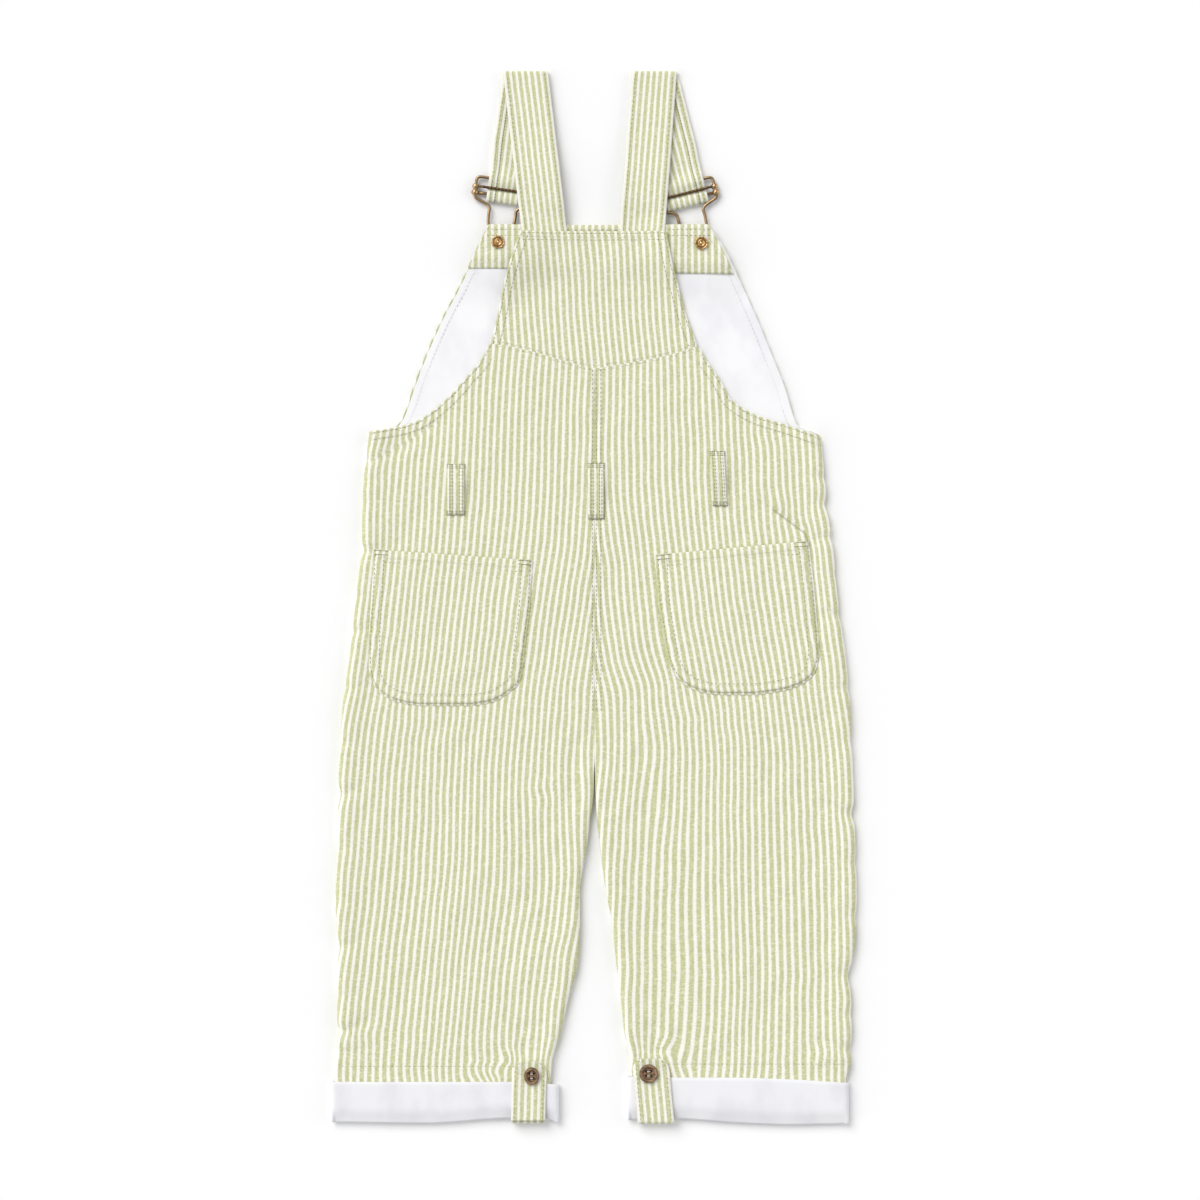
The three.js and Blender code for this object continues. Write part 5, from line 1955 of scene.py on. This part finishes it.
@dataclass
class Cuff:
    """A turned-up cuff, which shows the white inside of the leg."""

    side: Side
    straight: int = 90
    ends: int = 9
    steps: int = 13
    cut_height: float = 39

    def build(self, shop: Workshop) -> None:
        """Make the cuff as a ring about the end of the leg.

        Args:
            shop: the finishes, and the rows of stitches.
        """
        table = CUFFS[self.side]
        outer = GAP + CLOTH + CUFF_EASE
        reach = HEM_ROLL + outer
        x1, x2 = table.key[0] + reach, table.key[-1] - reach
        turn = (outer + CLOTH) / 2
        middle = outer - turn
        section: list[tuple[float, float, int]] = [(outer, 0, 1)]
        section += [(outer, 0, place) for place in (*range(3, 3 + self.steps), 0)]
        for angle in np.radians(np.arange(-15, -180, -15)):
            section.append((middle + turn * math.cos(angle), turn * math.sin(angle), 0))
        section += [(-CLOTH, 0, 0), (-CLOTH, 0, 2), (0, 0, 2), (0, 0.5, 0), (GAP, 0.5, 0),
                    (GAP, 0, 1), (GAP + CLOTH / 2, 0.35, 1)]
        run = np.arange(self.straight) / self.straight
        a = np.arange(self.ends) * math.pi / self.ends
        level, bend = 0 * run, 0 * a
        x0, nx, nz = (np.concatenate(column)[:, None] for column in (
            (mix(x1, x2, run), x2 + bend, mix(x2, x1, run), x1 + bend),
            (level, np.sin(a), level, -np.sin(a)),
            (level - 1, -np.cos(a), level + 1, np.cos(a)),
        ))
        off, dy, place = (np.array(column)[None, :] for column in zip(*section))
        x = x0 + nx * (HEM_ROLL + off)
        top, bottom = table.at(x, 0), table.at(x, 1) + turn
        levels = {0: bottom, 1: top, 2: np.full(x.shape, CUFF_INNER_Y)}
        for number in range(self.steps):
            levels[3 + number] = mix(top, bottom, (number + 1) / (self.steps + 1))
        y = np.select([place == k for k in levels], list(levels.values())) + dy
        z = HEM_MIDDLE + nz * (HEM_ROLL + off)
        waves = np.clip(WHITE_WAVES.at(x, y), -0.25, 0.25)
        on_top = nz > 0.9
        slope = smooth(11.5, 0, y - bottom + turn) ** 1.5
        z = z + 0.7 * waves * on_top * (off > GAP) - 2.2 * on_top * slope
        points = np.stack([x, y, z], axis=2)
        faces = grid_faces(*x.shape, flip=True, ring=True, loop=True, start=2)
        name = f"cuff_{self.side.value}"
        piece = new_object(f"{name}_cloth", points, faces.tolist())
        map_cloth(piece, points.reshape(-1, 3)[:, :2])
        mark(piece, "hem", np.full(x.size, FAR))
        # The cuff takes the darker copy of the white cloth: painted shade.
        shop.dress(piece, Slot.WHITE, name, finish=shop.finishes.cuff)


@dataclass
class CuffTab:
    """The tab that holds a cuff up, with its button."""

    side: Side
    x_top: float
    x_bottom: float
    width: float
    top: float
    button: tuple[float, float]
    size: float
    seen_width: float = 1.0  # narrower where the button leans over
    slack: float = 1.3
    tail: float = 14.0
    hole_out: float = 1.5  # each hole's place from the button's middle, across and up

    def under(self, x: Array, y: Array) -> Array:
        """Highest place of the leg or cuff under the tab.

        Args:
            x: places across, in millimetres.
            y: places up the garment.

        Returns:
            The height at each place.
        """
        cuff_top = HEM_MIDDLE + HEM_ROLL + GAP + CLOTH + CUFF_EASE
        edge = CUFFS[self.side].at(x, 0)
        share = np.clip((edge + 6 - y) / 5.5, 0, 1)
        share = share * share * (3 - 2 * share)
        return mix(back_top(x, y, self.side, 0.0), cuff_top, share)

    def build(self, shop: Workshop) -> None:
        """Make the tab, its button and their stitches.

        Args:
            shop: the finishes, and the rows of stitches.
        """
        half = CLOTH / 2
        across = np.array([-0.5, 0, 0.5]) * self.width
        bottom = float(CUFFS[self.side].at(self.x_bottom + across, 1).min())
        turn = (GAP + 2 * CLOTH + CUFF_EASE) / 2
        bend = turn + GAP + half
        bend_z = HEM_MIDDLE + HEM_ROLL - CLOTH + turn
        bend_y = bottom + turn - self.slack
        shape = Curve([(0, 0.5), (2.2, 0.8), (5.5, 0.97), (9, 1), (12, 1)])
        path = []
        for drop in np.concatenate([[0, 0.5, 1.0, 1.7, 2.5, 3.5], np.arange(5, 40, 1.5)]):
            y = self.top - drop
            x = mix(self.x_top, self.x_bottom, min(1, drop / (self.top - bottom)))
            lanes = np.array([-0.5, -0.25, 0, 0.25, 0.5]) * self.width
            z = float(self.under(x + lanes, np.full(5, y)).max()) + GAP + half
            path.append((x, y, z, self.width * float(shape.at(drop))))
        for angle in np.radians(np.arange(90, -91, -15)):
            path.append((self.x_bottom, bend_y - bend * math.cos(angle),
                         bend_z + bend * math.sin(angle), self.width))
        for reach in (5, 9, self.tail):
            path.append((self.x_bottom, bend_y + reach, bend_z - bend, self.width))
        cx, cy, cz, width = (np.array(c)[:, None] for c in zip(*path[::-1]))
        cz = np.minimum(cz, bend_z + bend)
        lanes = np.linspace(-0.5, 0.5, 14)[None, :]
        x, y, z = cx + lanes * width, cy + 0 * lanes, cz + 0 * lanes
        z = z - 0.25 * np.abs(2 * lanes) ** 10 * (cz > bend_z + bend - 3)
        steps = np.hypot(np.diff(cy[:, 0]), np.diff(cz[:, 0]))
        along = np.concatenate([[0], np.cumsum(steps)])[:, None] + 0 * lanes
        inset = (0.5 - np.abs(lanes)) * width
        face = Surface(np.stack([x, y, z], axis=2), lanes * width + 2.2 + 0 * cx, along,
                       FAR + 0 * x, inset)
        name = f"cuff_tab_{self.side.value}"
        shop.cloth(cloth_shell(f"{name}_cloth", face, share=0.5), face, Slot.STRIPED, name,
                   (self.width, float(along.max()) + 2), [f"cuff_{self.side.value}"])
        for column in (0.09, 0.91):
            row = face.row_at(column, half + STITCH_LIFT, slice(16, len(path) - 3))
            shop.sew("sewing_tabs", row)
        self.build_button(shop)

    def build_button(self, shop: Workshop) -> None:
        """Make the four-hole button and the thread that holds it.

        Args:
            shop: the finishes, and the rows of stitches.
        """
        r = self.size / 2
        base = HEM_MIDDLE + HEM_ROLL + 2 * GAP + 2 * CLOTH + 0.4
        profile = Curve([
            (0, 1.35), (0.5, 1.38), (0.58, 1.5), (0.7, 2.05), (0.84, 2.2), (0.94, 2.05), (1, 1.6),
        ])
        rings = np.linspace(0, 1, 44)
        turns = np.linspace(0, 2 * math.pi, 73)[:-1]
        rho = np.concatenate([rings * r, [r, r * 0.92, r * 0.8]])
        flat_x = rho[:, None] * np.cos(turns)[None, :]
        flat_y = rho[:, None] * np.sin(turns)[None, :]
        z = np.concatenate([profile.at(rings), [0.9, 0.3, 0.0]])[:, None] + 0 * flat_x
        holes = [np.hypot(flat_x - sx * self.hole_out, flat_y - sy * self.hole_out)
                 for sx in (-1, 1) for sy in (-1, 1)]
        face = slice(len(rings))  # without the rim
        for away in holes:
            z[face] -= 1.2 * smooth(1.05, 0.7, away)[face]
        x, y = self.button[0] + flat_x * self.seen_width, self.button[1] + flat_y
        faces = grid_faces(*x.shape, flip=True, ring=True, start=1).tolist()
        faces.append(list(range(x.size - x.shape[1], x.size))[::-1])
        piece = new_object(f"cuff_button_{self.side.value}_turned",
                           np.stack([x, y, base + z], axis=2), faces)
        # Painted shade: the holes, the ring groove and the rim's outer wall are marked dark.
        pits = sum(bell((away / 0.95) ** 2) for away in holes)
        groove = bell((rho[:, None] / r - 0.6) / 0.07) * 0.8 + bell((rho[:, None] / r - 1) / 0.06)
        mark(piece, "patina_and_shade", np.clip(groove + 1.2 * pits, 0, 1))
        shop.dress(piece, Slot.BROWN, f"cuff_button_{self.side.value}")
        for sy in (-1.4, 1.4):
            t = np.linspace(-0.9, 0.9, 9)
            bow = base + 1.4 + 0.4 * (1 - (t / 0.9) ** 4)
            line = np.column_stack([self.button[0] + t * self.seen_width,
                                    np.full(9, self.button[1] + sy), bow])
            shop.sew("button_thread", line)


def tube(points: Array, radius: Array | float, sides: int, closed: bool) -> tuple[Array, Faces]:
    """A round tube along a path.

    Args:
        points: places along it.
        radius: its radius, one number or one for each place.
        sides: corners of its section.
        closed: whether its ends meet.

    Returns:
        Points and faces; one face closes each end of an open tube.
    """
    p = np.asarray(points, float)
    step = np.roll(p, -1, axis=0) - np.roll(p, 1, axis=0) if closed else np.gradient(p, axis=0)
    step /= np.linalg.norm(step, axis=1, keepdims=True)
    sideways = np.cross(step, [0, 0, 1.0])
    sideways /= np.maximum(np.linalg.norm(sideways, axis=1, keepdims=True), 1e-9)
    upward = np.cross(sideways, step)
    angle = np.linspace(0, 2 * math.pi, sides + 1)[:-1]
    r = np.broadcast_to(np.asarray(radius, float), (len(p),))[:, None, None]
    ring = (np.cos(angle)[None, :, None] * sideways[:, None]
            + np.sin(angle)[None, :, None] * upward[:, None])
    around = p[:, None] + r * ring
    faces = grid_faces(len(p), sides, flip=True, ring=True, loop=closed).tolist()
    if not closed:
        faces.append(list(range(sides)))
        faces.append([(len(p) - 1) * sides + q for q in range(sides)][::-1])
    return around.reshape(-1, 3), faces


def through(points: Sequence[Sequence[float]], closed: bool, each: int) -> Array:
    """A smooth curve through points, with steps that suit uneven distances.

    Args:
        points: places that it passes.
        closed: whether its ends meet.
        each: steps from one place to the next.

    Returns:
        Points along the curve.
    """
    p = np.asarray(points, float)
    if closed:
        p = np.vstack([p[-1], p, p[0], p[1]])
    else:
        p = np.vstack([2 * p[0] - p[1], p, 2 * p[-1] - p[-2]])
    out = []
    for a, b, c, d in zip(p[:-3], p[1:-2], p[2:-1], p[3:]):
        t0 = 0.0
        t1 = t0 + max(np.linalg.norm(b - a), 1e-6) ** 0.5
        t2 = t1 + max(np.linalg.norm(c - b), 1e-6) ** 0.5
        t3 = t2 + max(np.linalg.norm(d - c), 1e-6) ** 0.5
        for t in np.linspace(t1, t2, each, endpoint=False):
            ab = mix(a, b, (t - t0) / (t1 - t0))
            bc = mix(b, c, (t - t1) / (t2 - t1))
            cd = mix(c, d, (t - t2) / (t3 - t2))
            abc = mix(ab, bc, (t - t0) / (t2 - t0))
            bcd = mix(bc, cd, (t - t1) / (t3 - t1))
            out.append(mix(abc, bcd, (t - t1) / (t2 - t1)))
    if not closed:
        out.append(p[-2])
    return np.array(out)


def lathe(profile: Sequence[tuple[float, float]], segments: int, scallops: int = 0,
          depth: float = 0.0) -> tuple[Array, Faces]:
    """A turned shape about +Z.

    Args:
        profile: radius and height from the axis out and back to the axis.
        segments: steps round.
        scallops: bumps round the rim.
        depth: how far the scallops cut in, as a share of the radius.

    Returns:
        Points and faces, closed at both poles.
    """
    angle = np.linspace(0, 2 * math.pi, segments + 1)[:-1]
    rows = [(max(r, 0.001), z) for r, z in profile]
    top = max(r for r, _ in rows)
    points = []
    for r, z in rows:
        cut = 1 - depth * (r / top) ** 6 * (0.5 + 0.5 * np.cos(scallops * angle))
        points.append(np.stack([r * cut * np.cos(angle), r * cut * np.sin(angle),
                                np.full(segments, z)], axis=1))
    faces = grid_faces(len(rows), segments, ring=True, start=-1).tolist()
    faces.append(list(range(segments))[::-1])
    faces.append([(len(rows) - 1) * segments + q for q in range(segments)])
    return np.vstack(points), faces


def joined(parts: Sequence[tuple[Array, Faces]]) -> tuple[Array, Faces]:
    """Several shapes as one list of points and faces.

    Args:
        parts: points and faces of each shape.

    Returns:
        All points, and faces that number them.
    """
    points, faces, first = [], [], 0
    for p, f in parts:
        points.append(p)
        faces += [[first + corner for corner in face] for face in f]
        first += len(p)
    return np.vstack(points), faces


HOOK = [
    (FRAME_HALF, 1, 2.4), (FRAME_HALF - 0.9, -0.9, 2.4), (15, -2.6, 2.4), (10.6, -4.4, 2.4),
    (8.9, -6.4, 2.5), (8.9, -10, 2.6), (8.4, -16, 2.7), (6.6, -23, 2.7),
]


@dataclass
class Buckle:
    """A strap buckle: one bent wire with a hook, and the slide with its toothed bar."""

    side: Side
    corner: float = 2.2
    teeth: int = 15

    def placed(self, points: Array) -> Array:
        """From the buckle's own frame to the garment's.

        Args:
            points: places in the buckle's own frame.

        Returns:
            Places on the garment.
        """
        ends = STRAPS[self.side]
        fold, end = np.array(ends.fold), np.array(ends.end)
        axis = (fold - end) / np.linalg.norm(fold - end)
        right = np.array([axis[1], -axis[0]])
        origin = end + self.side.sign * FRAME_SHIFT * right
        p = np.array(points, float)
        p[:, 0] -= {Side.LEFT: 0.0, Side.RIGHT: 2.0}[self.side] * smooth(-27, -14, p[:, 1])
        flat = origin + p[:, :1] * right + p[:, 1:2] * axis
        return np.column_stack([flat, p[:, 2]])

    def wire_path(self) -> list[tuple[float, float, float]]:
        """The wire's middle line, all the way round.

        Returns:
            Places along the wire.
        """
        corner = self.corner
        half = [
            (0, BAR_TOP, FRAME_Z), (FRAME_HALF / 2, BAR_TOP, FRAME_Z),
            (FRAME_HALF - corner, BAR_TOP, FRAME_Z),
            (FRAME_HALF - corner * 0.3, BAR_TOP - corner * 0.3, FRAME_Z),
            (FRAME_HALF, BAR_TOP - corner, FRAME_Z), (FRAME_HALF, BAR_TOOTHED, FRAME_Z), *HOOK,
        ]
        eye = HOOK[-1][2]
        for angle in np.radians([10, -25, -60]):
            along = BUTTON_ALONG + HOOK_EYE * math.sin(angle)
            half.append((HOOK_EYE * math.cos(angle), along, eye))
        mirrored = [(-x, y, z) for x, y, z in half[:0:-1]]
        return [*half, (0, BUTTON_ALONG - HOOK_EYE, eye), *mirrored]

    def slide_parts(self) -> list[tuple[Array, Faces]]:
        """Toothed bar, plain bar and the two beaded sleeves.

        Returns:
            Points and faces of each.
        """
        reach, rise = FRAME_HALF - 1.7, 0.8
        low = FRAME_Z + 0.7
        bar = through([
            (-reach, BAR_TOOTHED, low),
            *((x, BAR_TOOTHED, TOOTHED_Z)
              for x in (-reach + rise, -reach / 2, 0, reach / 2, reach - rise)),
            (reach, BAR_TOOTHED, low),
        ], closed=False, each=26)
        saw = (bar[:, 0] / (2 * reach) * self.teeth) % 1
        radius = 0.78 + 0.24 * np.abs(2 * saw - 1) * smooth(reach - 1, reach - 3, np.abs(bar[:, 0]))
        parts = [tube(bar, radius, 12, closed=False)]
        plain = np.array([(x, BAR_LOW, FRAME_Z) for x in np.linspace(-reach, reach, 9)])
        parts.append(tube(plain, 1.0, 14, closed=False))
        hole = WIRE / 2 + 0.05
        sleeve = [(hole, 0.7)]
        for bead in (BAR_LOW, BAR_TOOTHED):
            for angle in np.radians(np.linspace(-75, 75, 9)):
                sleeve.append((hole + 0.15 + 1.15 * math.cos(angle), bead + 1.75 * math.sin(angle)))
        sleeve.append((hole, 8.1))
        angle = np.linspace(0, 2 * math.pi, 25)[:-1]
        around = grid_faces(len(sleeve), 24, flip=True, ring=True, loop=True, start=1).tolist()
        for sign in (-1, 1):
            rows = [np.stack([sign * FRAME_HALF + r * np.cos(angle), np.full(24, y),
                              FRAME_Z + r * np.sin(angle)], axis=1) for r, y in sleeve]
            parts.append((np.vstack(rows), around))
        return parts

    def build(self, shop: Workshop) -> None:
        """Make the wire and the slide.

        Args:
            shop: the finishes, and the rows of stitches.
        """
        name = self.side.value
        line = through(self.wire_path(), closed=True, each=9)
        points, faces = tube(line, WIRE / 2, 14, closed=True)
        wire = new_object(f"buckle_wire_{name}_bent", self.placed(points), faces)
        # Painted shade: the wire is darker on its right, lower side, away from the upper-left
        # light.
        shaded_side = (points - np.repeat(line, 14, axis=0)) @ np.array([0.75, -0.6, -0.2])
        mark(wire, "patina_and_shade", 0.9 * smooth(-0.5, 0.6, shaded_side))
        shop.dress(wire, Slot.METAL, f"buckle_wire_{name}")
        parts = self.slide_parts()
        points, faces = joined(parts)
        slide = new_object(f"buckle_slide_{name}_cast", self.placed(points), faces)
        # The toothed bar and the plain bar are darker than the beaded sleeves.
        bar_darkness = [np.full(len(part[0]), dark) for part, dark in zip(parts, (0.9, 0.6, 0.0, 0.0))]
        mark(slide, "patina_and_shade", np.concatenate(bar_darkness))
        shop.dress(slide, Slot.METAL, f"buckle_slide_{name}")


@dataclass
class BibButton:
    """A riveted bib button: the cap under the bib and its ringed back on top."""

    side: Side

    def build(self, shop: Workshop) -> None:
        """Make the cap with its shank, and the back.

        Args:
            shop: the finishes, and the rows of stitches.
        """
        x, y = STRAPS[self.side].button
        name = self.side.value
        cap = [
            (0, 0.15), (2.4, 0.15), (2.8, 0.4), (3.3, 0.4), (3.7, 0.12), (6.4, 0.1), (7.0, 0.0),
            (8.0, 0.05), (8.4, 0.35), (8.5, 0.7), (8.4, 1.05), (8.0, CAP_HEIGHT),
            (2.7, CAP_HEIGHT), (2.4, CAP_HEIGHT + 0.3), (2.4, BIB_LIFT - GAP),
            (0, BIB_LIFT - GAP),
        ]
        points, faces = lathe(cap, 56)
        button = new_object(f"bib_button_{name}_cap", points + [x, y, 0], faces)
        shop.dress(button, Slot.METAL, f"bib_button_{name}")
        base = BIB_LIFT + 2 * BIB_LAYER + LAYER
        ring = [(0, 0), (3.9, 0), (4.12, 0.2), (4.15, 0.45), (4.0, 0.85), (3.7, 1.05), (3.35, 1.05),
                (3.05, 0.8), (2.8, 0.4), (2.5, 0.25), (2.25, 0.45), (2.0, 0.85), (1.7, 0.9),
                (1.4, 0.55), (1.1, 0.2), (0.8, 0.25), (0.5, 0.6), (0, 0.75)]
        ring = [(r * 1.1, z) for r, z in ring]
        points, faces = lathe(ring, 66, scallops=11, depth=0.14)
        back = new_object(f"tack_back_{name}_ringed", points + [x, y, base], faces)
        r = np.linalg.norm(points[:, :2], axis=1)
        turn = np.arctan2(points[:, 1], points[:, 0])
        gaps = (0.5 + 0.5 * np.cos(11 * turn)) ** 5 * smooth(2.9, 3.5, r)
        dimples = (0.5 + 0.5 * np.cos(4 * turn)) * bell((r - 1.1) / 0.5)
        mark(back, "patina_and_shade", 0.85 * np.clip(gaps + bell((r - 2.8) / 0.28) + dimples, 0, 1))
        shop.dress(back, Slot.COPPER, f"tack_back_{name}")


# Pitch, length and thickness of stitches that differ from the usual ones
STITCHES = {
    "button_thread": (0.4, 0.7, 0.6), "sewing_tacks": (1.2, 1.4, 0.55),
    "sewing_loops": (2.3, 1.7, 0.5), "sewing_pockets": (2.9, 2.1, 0.48),
    "sewing_straps": (2.9, 2.0, 0.5), "sewing_back": (2.9, 2.0, 0.45),
    "tail_shade_stitches": (1.9, 1.7, 0.8), "sewing_hems": (2.9, 2.0, 0.3),
}


@dataclass
class Sewing:
    """Rows of stitches, laid by a node tree along every marked path."""

    pitch: float = 2.9
    length: float = 2.0
    thickness: float = 0.42
    seed: int = 4

    def tree(self) -> Tree:
        """The node tree: paths in, stitches out.

        Returns:
            The node tree.
        """
        group = bpy.data.node_groups.new("stitch rows", "GeometryNodeTree")
        for label, kind, value in (
            ("Geometry", "Geometry", None), ("Pitch", "Float", self.pitch / 1000),
            ("Length", "Float", self.length / 1000), ("Thickness", "Float", self.thickness / 1000),
            ("Seed", "Int", self.seed), ("Thread", "Material", None),
        ):
            kind = f"NodeSocket{kind}"
            socket = group.interface.new_socket(label, in_out="INPUT", socket_type=kind)
            if value is not None:
                socket.default_value = value
        group.interface.new_socket("Geometry", in_out="OUTPUT", socket_type="NodeSocketGeometry")
        w = Wiring(group)
        given = w.add("NodeGroupInput").outputs
        curve = w.add("GeometryNodeMeshToCurve", {"Mesh": given["Geometry"]}).outputs[0]
        spaced = w.add("GeometryNodeResampleCurve", {"Curve": curve, "Length": given["Pitch"]},
                       mode="LENGTH").outputs[0]
        bead = w.add("GeometryNodeMeshUVSphere", {"Segments": 6, "Rings": 4, "Radius": 0.5})
        tangent = w.add("GeometryNodeInputTangent").outputs[0]
        turned = w.add("FunctionNodeAlignRotationToVector", {"Vector": tangent}, axis="X")
        chance = w.add("FunctionNodeRandomValue",
                       {2: 0.82, 3: 1.1, "Seed": given["Seed"]}, data_type="FLOAT")
        long = w.times(given["Length"], chance.outputs[1])
        size = w.vector(long, given["Thickness"], w.times(given["Thickness"], 0.8))
        placed = w.add("GeometryNodeInstanceOnPoints", {
            "Points": spaced, "Instance": bead.outputs[0],
            "Rotation": turned.outputs[0], "Scale": size,
        })
        real = w.add("GeometryNodeRealizeInstances", {0: placed.outputs[0]})
        smoothed = w.add("GeometryNodeSetShadeSmooth", {"Geometry": real.outputs[0]})
        dressed = w.add("GeometryNodeSetMaterial",
                        {"Geometry": smoothed.outputs[0], "Material": given["Thread"]})
        w.add("NodeGroupOutput", {"Geometry": dressed.outputs[0]})
        return group

    def build(self, shop: Workshop) -> None:
        """Lay the stitches of every sewing piece and keep them as plain meshes.

        Args:
            shop: the finishes, and the rows of stitches.
        """
        group = self.tree()
        sockets = {item.name: item.identifier for item in group.interface.items_tree
                   if item.in_out == "INPUT"}
        for name, rows in shop.rows.items():
            points = to_metres(np.vstack(rows))
            edges, first = [], 0
            for row in rows:
                edges += [(first + k, first + k + 1) for k in range(len(row) - 1)]
                first += len(row)
            mesh = bpy.data.meshes.new(f"{name}_paths")
            mesh.from_pydata(points.tolist(), edges, [])
            paths = linked(f"{name}_paths", mesh)
            white = name in ("sewing_lining", "button_thread")
            thread = shop.finishes.white_thread if white else shop.finishes.thread
            # Belt loops, bar tacks and the strap tails' line take the darker thread, painted shade.
            if name in ("sewing_loops", "sewing_tacks", "tail_shade_stitches"):
                thread = shop.finishes.dark_thread
            modifier = paths.modifiers.new("stitches", "NODES")
            modifier.node_group = group
            modifier[sockets["Thread"]] = thread
            if name in STITCHES:
                for label, value in zip(("Pitch", "Length", "Thickness"), STITCHES[name]):
                    modifier[sockets[label]] = value / 1000
            seen = bpy.context.evaluated_depsgraph_get()
            baked = bpy.data.meshes.new_from_object(paths.evaluated_get(seen))
            paths.modifiers.remove(modifier)
            bpy.data.objects.remove(paths)
            bpy.data.meshes.remove(mesh)
            piece = linked(name, baked)
            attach(piece, "root")
            log.info("%s: %d faces", name, len(baked.polygons))


@dataclass
class Studio:
    """Floor, soft light and the camera straight above."""

    floor_half: float = 3.0
    camera_at: tuple[float, float, float] = (0.0039, -0.0017, 2.0)
    lens: float = 90.9
    daylight: float = 0.43
    paper: Colour = (0.93, 0.93, 0.935, 1)

    def build(self) -> None:
        """Make the floor, lights and camera."""
        h = self.floor_half
        mesh = bpy.data.meshes.new("floor")
        mesh.from_pydata([(-h, -h, 0), (h, -h, 0), (h, h, 0), (-h, h, 0)], [], [(0, 1, 2, 3)])
        floor = linked("floor", mesh)
        floor.location.z = -0.0002
        material, w = new_material("white paper")
        w.surface({"Base Color": self.paper, "Roughness": 1.0, "Specular IOR Level": 0.0})
        floor.data.materials.append(material)
        world = bpy.data.worlds.new("daylight")
        world.use_nodes = True
        sky = world.node_tree.nodes["Background"]
        sky.inputs[0].default_value = (1, 1, 1, 1)
        sky.inputs[1].default_value = self.daylight
        bpy.context.scene.world = world
        self.sun("window", (-1.0, 1.3, 1.5), 0.7, 2.16)
        self.sun("left panel", (-1.5, -0.3, 0.55), 0.9, 0.85)
        self.sun("right panel", (1.5, 0.2, 0.55), 0.9, 0.85)
        data = bpy.data.cameras.new("camera")
        data.lens = self.lens
        data.sensor_width = 36
        camera = linked("camera", data)
        camera.location = self.camera_at
        bpy.context.scene.camera = camera
        settings = bpy.context.scene.view_settings
        settings.view_transform = "Standard"
        settings.look = "None"

    @staticmethod
    def sun(name: str, place: tuple[float, float, float], size: float, power: float) -> None:
        """An even soft light that comes from the direction of a place.

        Args:
            name: its name.
            place: where it comes from.
            size: how wide it is seen, in radians.
            power: its strength.
        """
        data = bpy.data.lights.new(name, "SUN")
        data.angle = size
        data.energy = power
        lamp = linked(name, data)
        lamp.location = place
        x, y, z = place
        lamp.rotation_euler = (math.atan2(math.hypot(x, y), z), 0, math.atan2(y, x) + math.pi / 2)


POCKETS = {
    Side.LEFT: Curve([
        (27.7, -145.5, -40.6, 3.6), (-2, -146.9, -42.2, 2.6), (-28, -148.5, -45.2, 1.6),
        (-45, -148.8, -47, 1), (-56, -146.5, -49.5, 0.6), (-62, -142.4, -55.4, 0.3),
        (-66.5, -136, -61.5, 0), (-69.8, -127, -69.5, 0), (-71.6, -115, -81, 0),
    ]),
    Side.RIGHT: Curve([
        (32.3, 40.3, 141.2, -4.6), (1.3, 41.9, 144.9, -3), (-21.8, 45.2, 146.9, -1.6),
        (-38.3, 47.9, 147.9, -0.8), (-50.5, 52.6, 144.6, 0), (-56.6, 58.2, 138, 0),
        (-60.9, 65.4, 127.5, 0), (-63.4, 74, 114, 0), (-64.4, 82, 106, 0),
    ]),
}


def main() -> None:
    """Build the garment piece by piece, then the studio."""
    logging.basicConfig(level=logging.INFO, format="%(message)s")
    Studio().build()
    shop = Workshop(Finishes())
    Bib().build(shop)
    Yoke().build(shop)
    for side in Side:
        FrontLeg(side).build(shop)
        BackPanel(side).build(shop)
        Pocket(side, POCKETS[side], stripe_offset=(1.5, 2.3)[side.column]).build(shop)
        Strap(side).build(shop)
        Buckle(side).build(shop)
        BibButton(side).build(shop)
        Cuff(side).build(shop)
    CuffTab(Side.LEFT, x_top=-42.4, x_bottom=-43.6, width=22.4, top=-305.4,
            button=(-41.3, -314.8), size=11.6, seen_width=0.86).build(shop)
    CuffTab(Side.RIGHT, x_top=36.6, x_bottom=40.4, width=24.2, top=-303.8,
            button=(35.6, -313.2), size=12.2).build(shop)
    BeltLoop("left", x_top=-91.1, x_bottom=-91.1, top=87.1, bottom=54.1, width=11.2).build(shop)
    BeltLoop("center", x_top=1.3, x_bottom=1.3, top=87.8, bottom=51.5, width=9.9).build(shop)
    BeltLoop("right", x_top=80.9, x_bottom=82.8, top=95.7, bottom=60.1, width=9.2).build(shop)
    Sewing().build(shop)


if __name__ == "__main__":
    main()
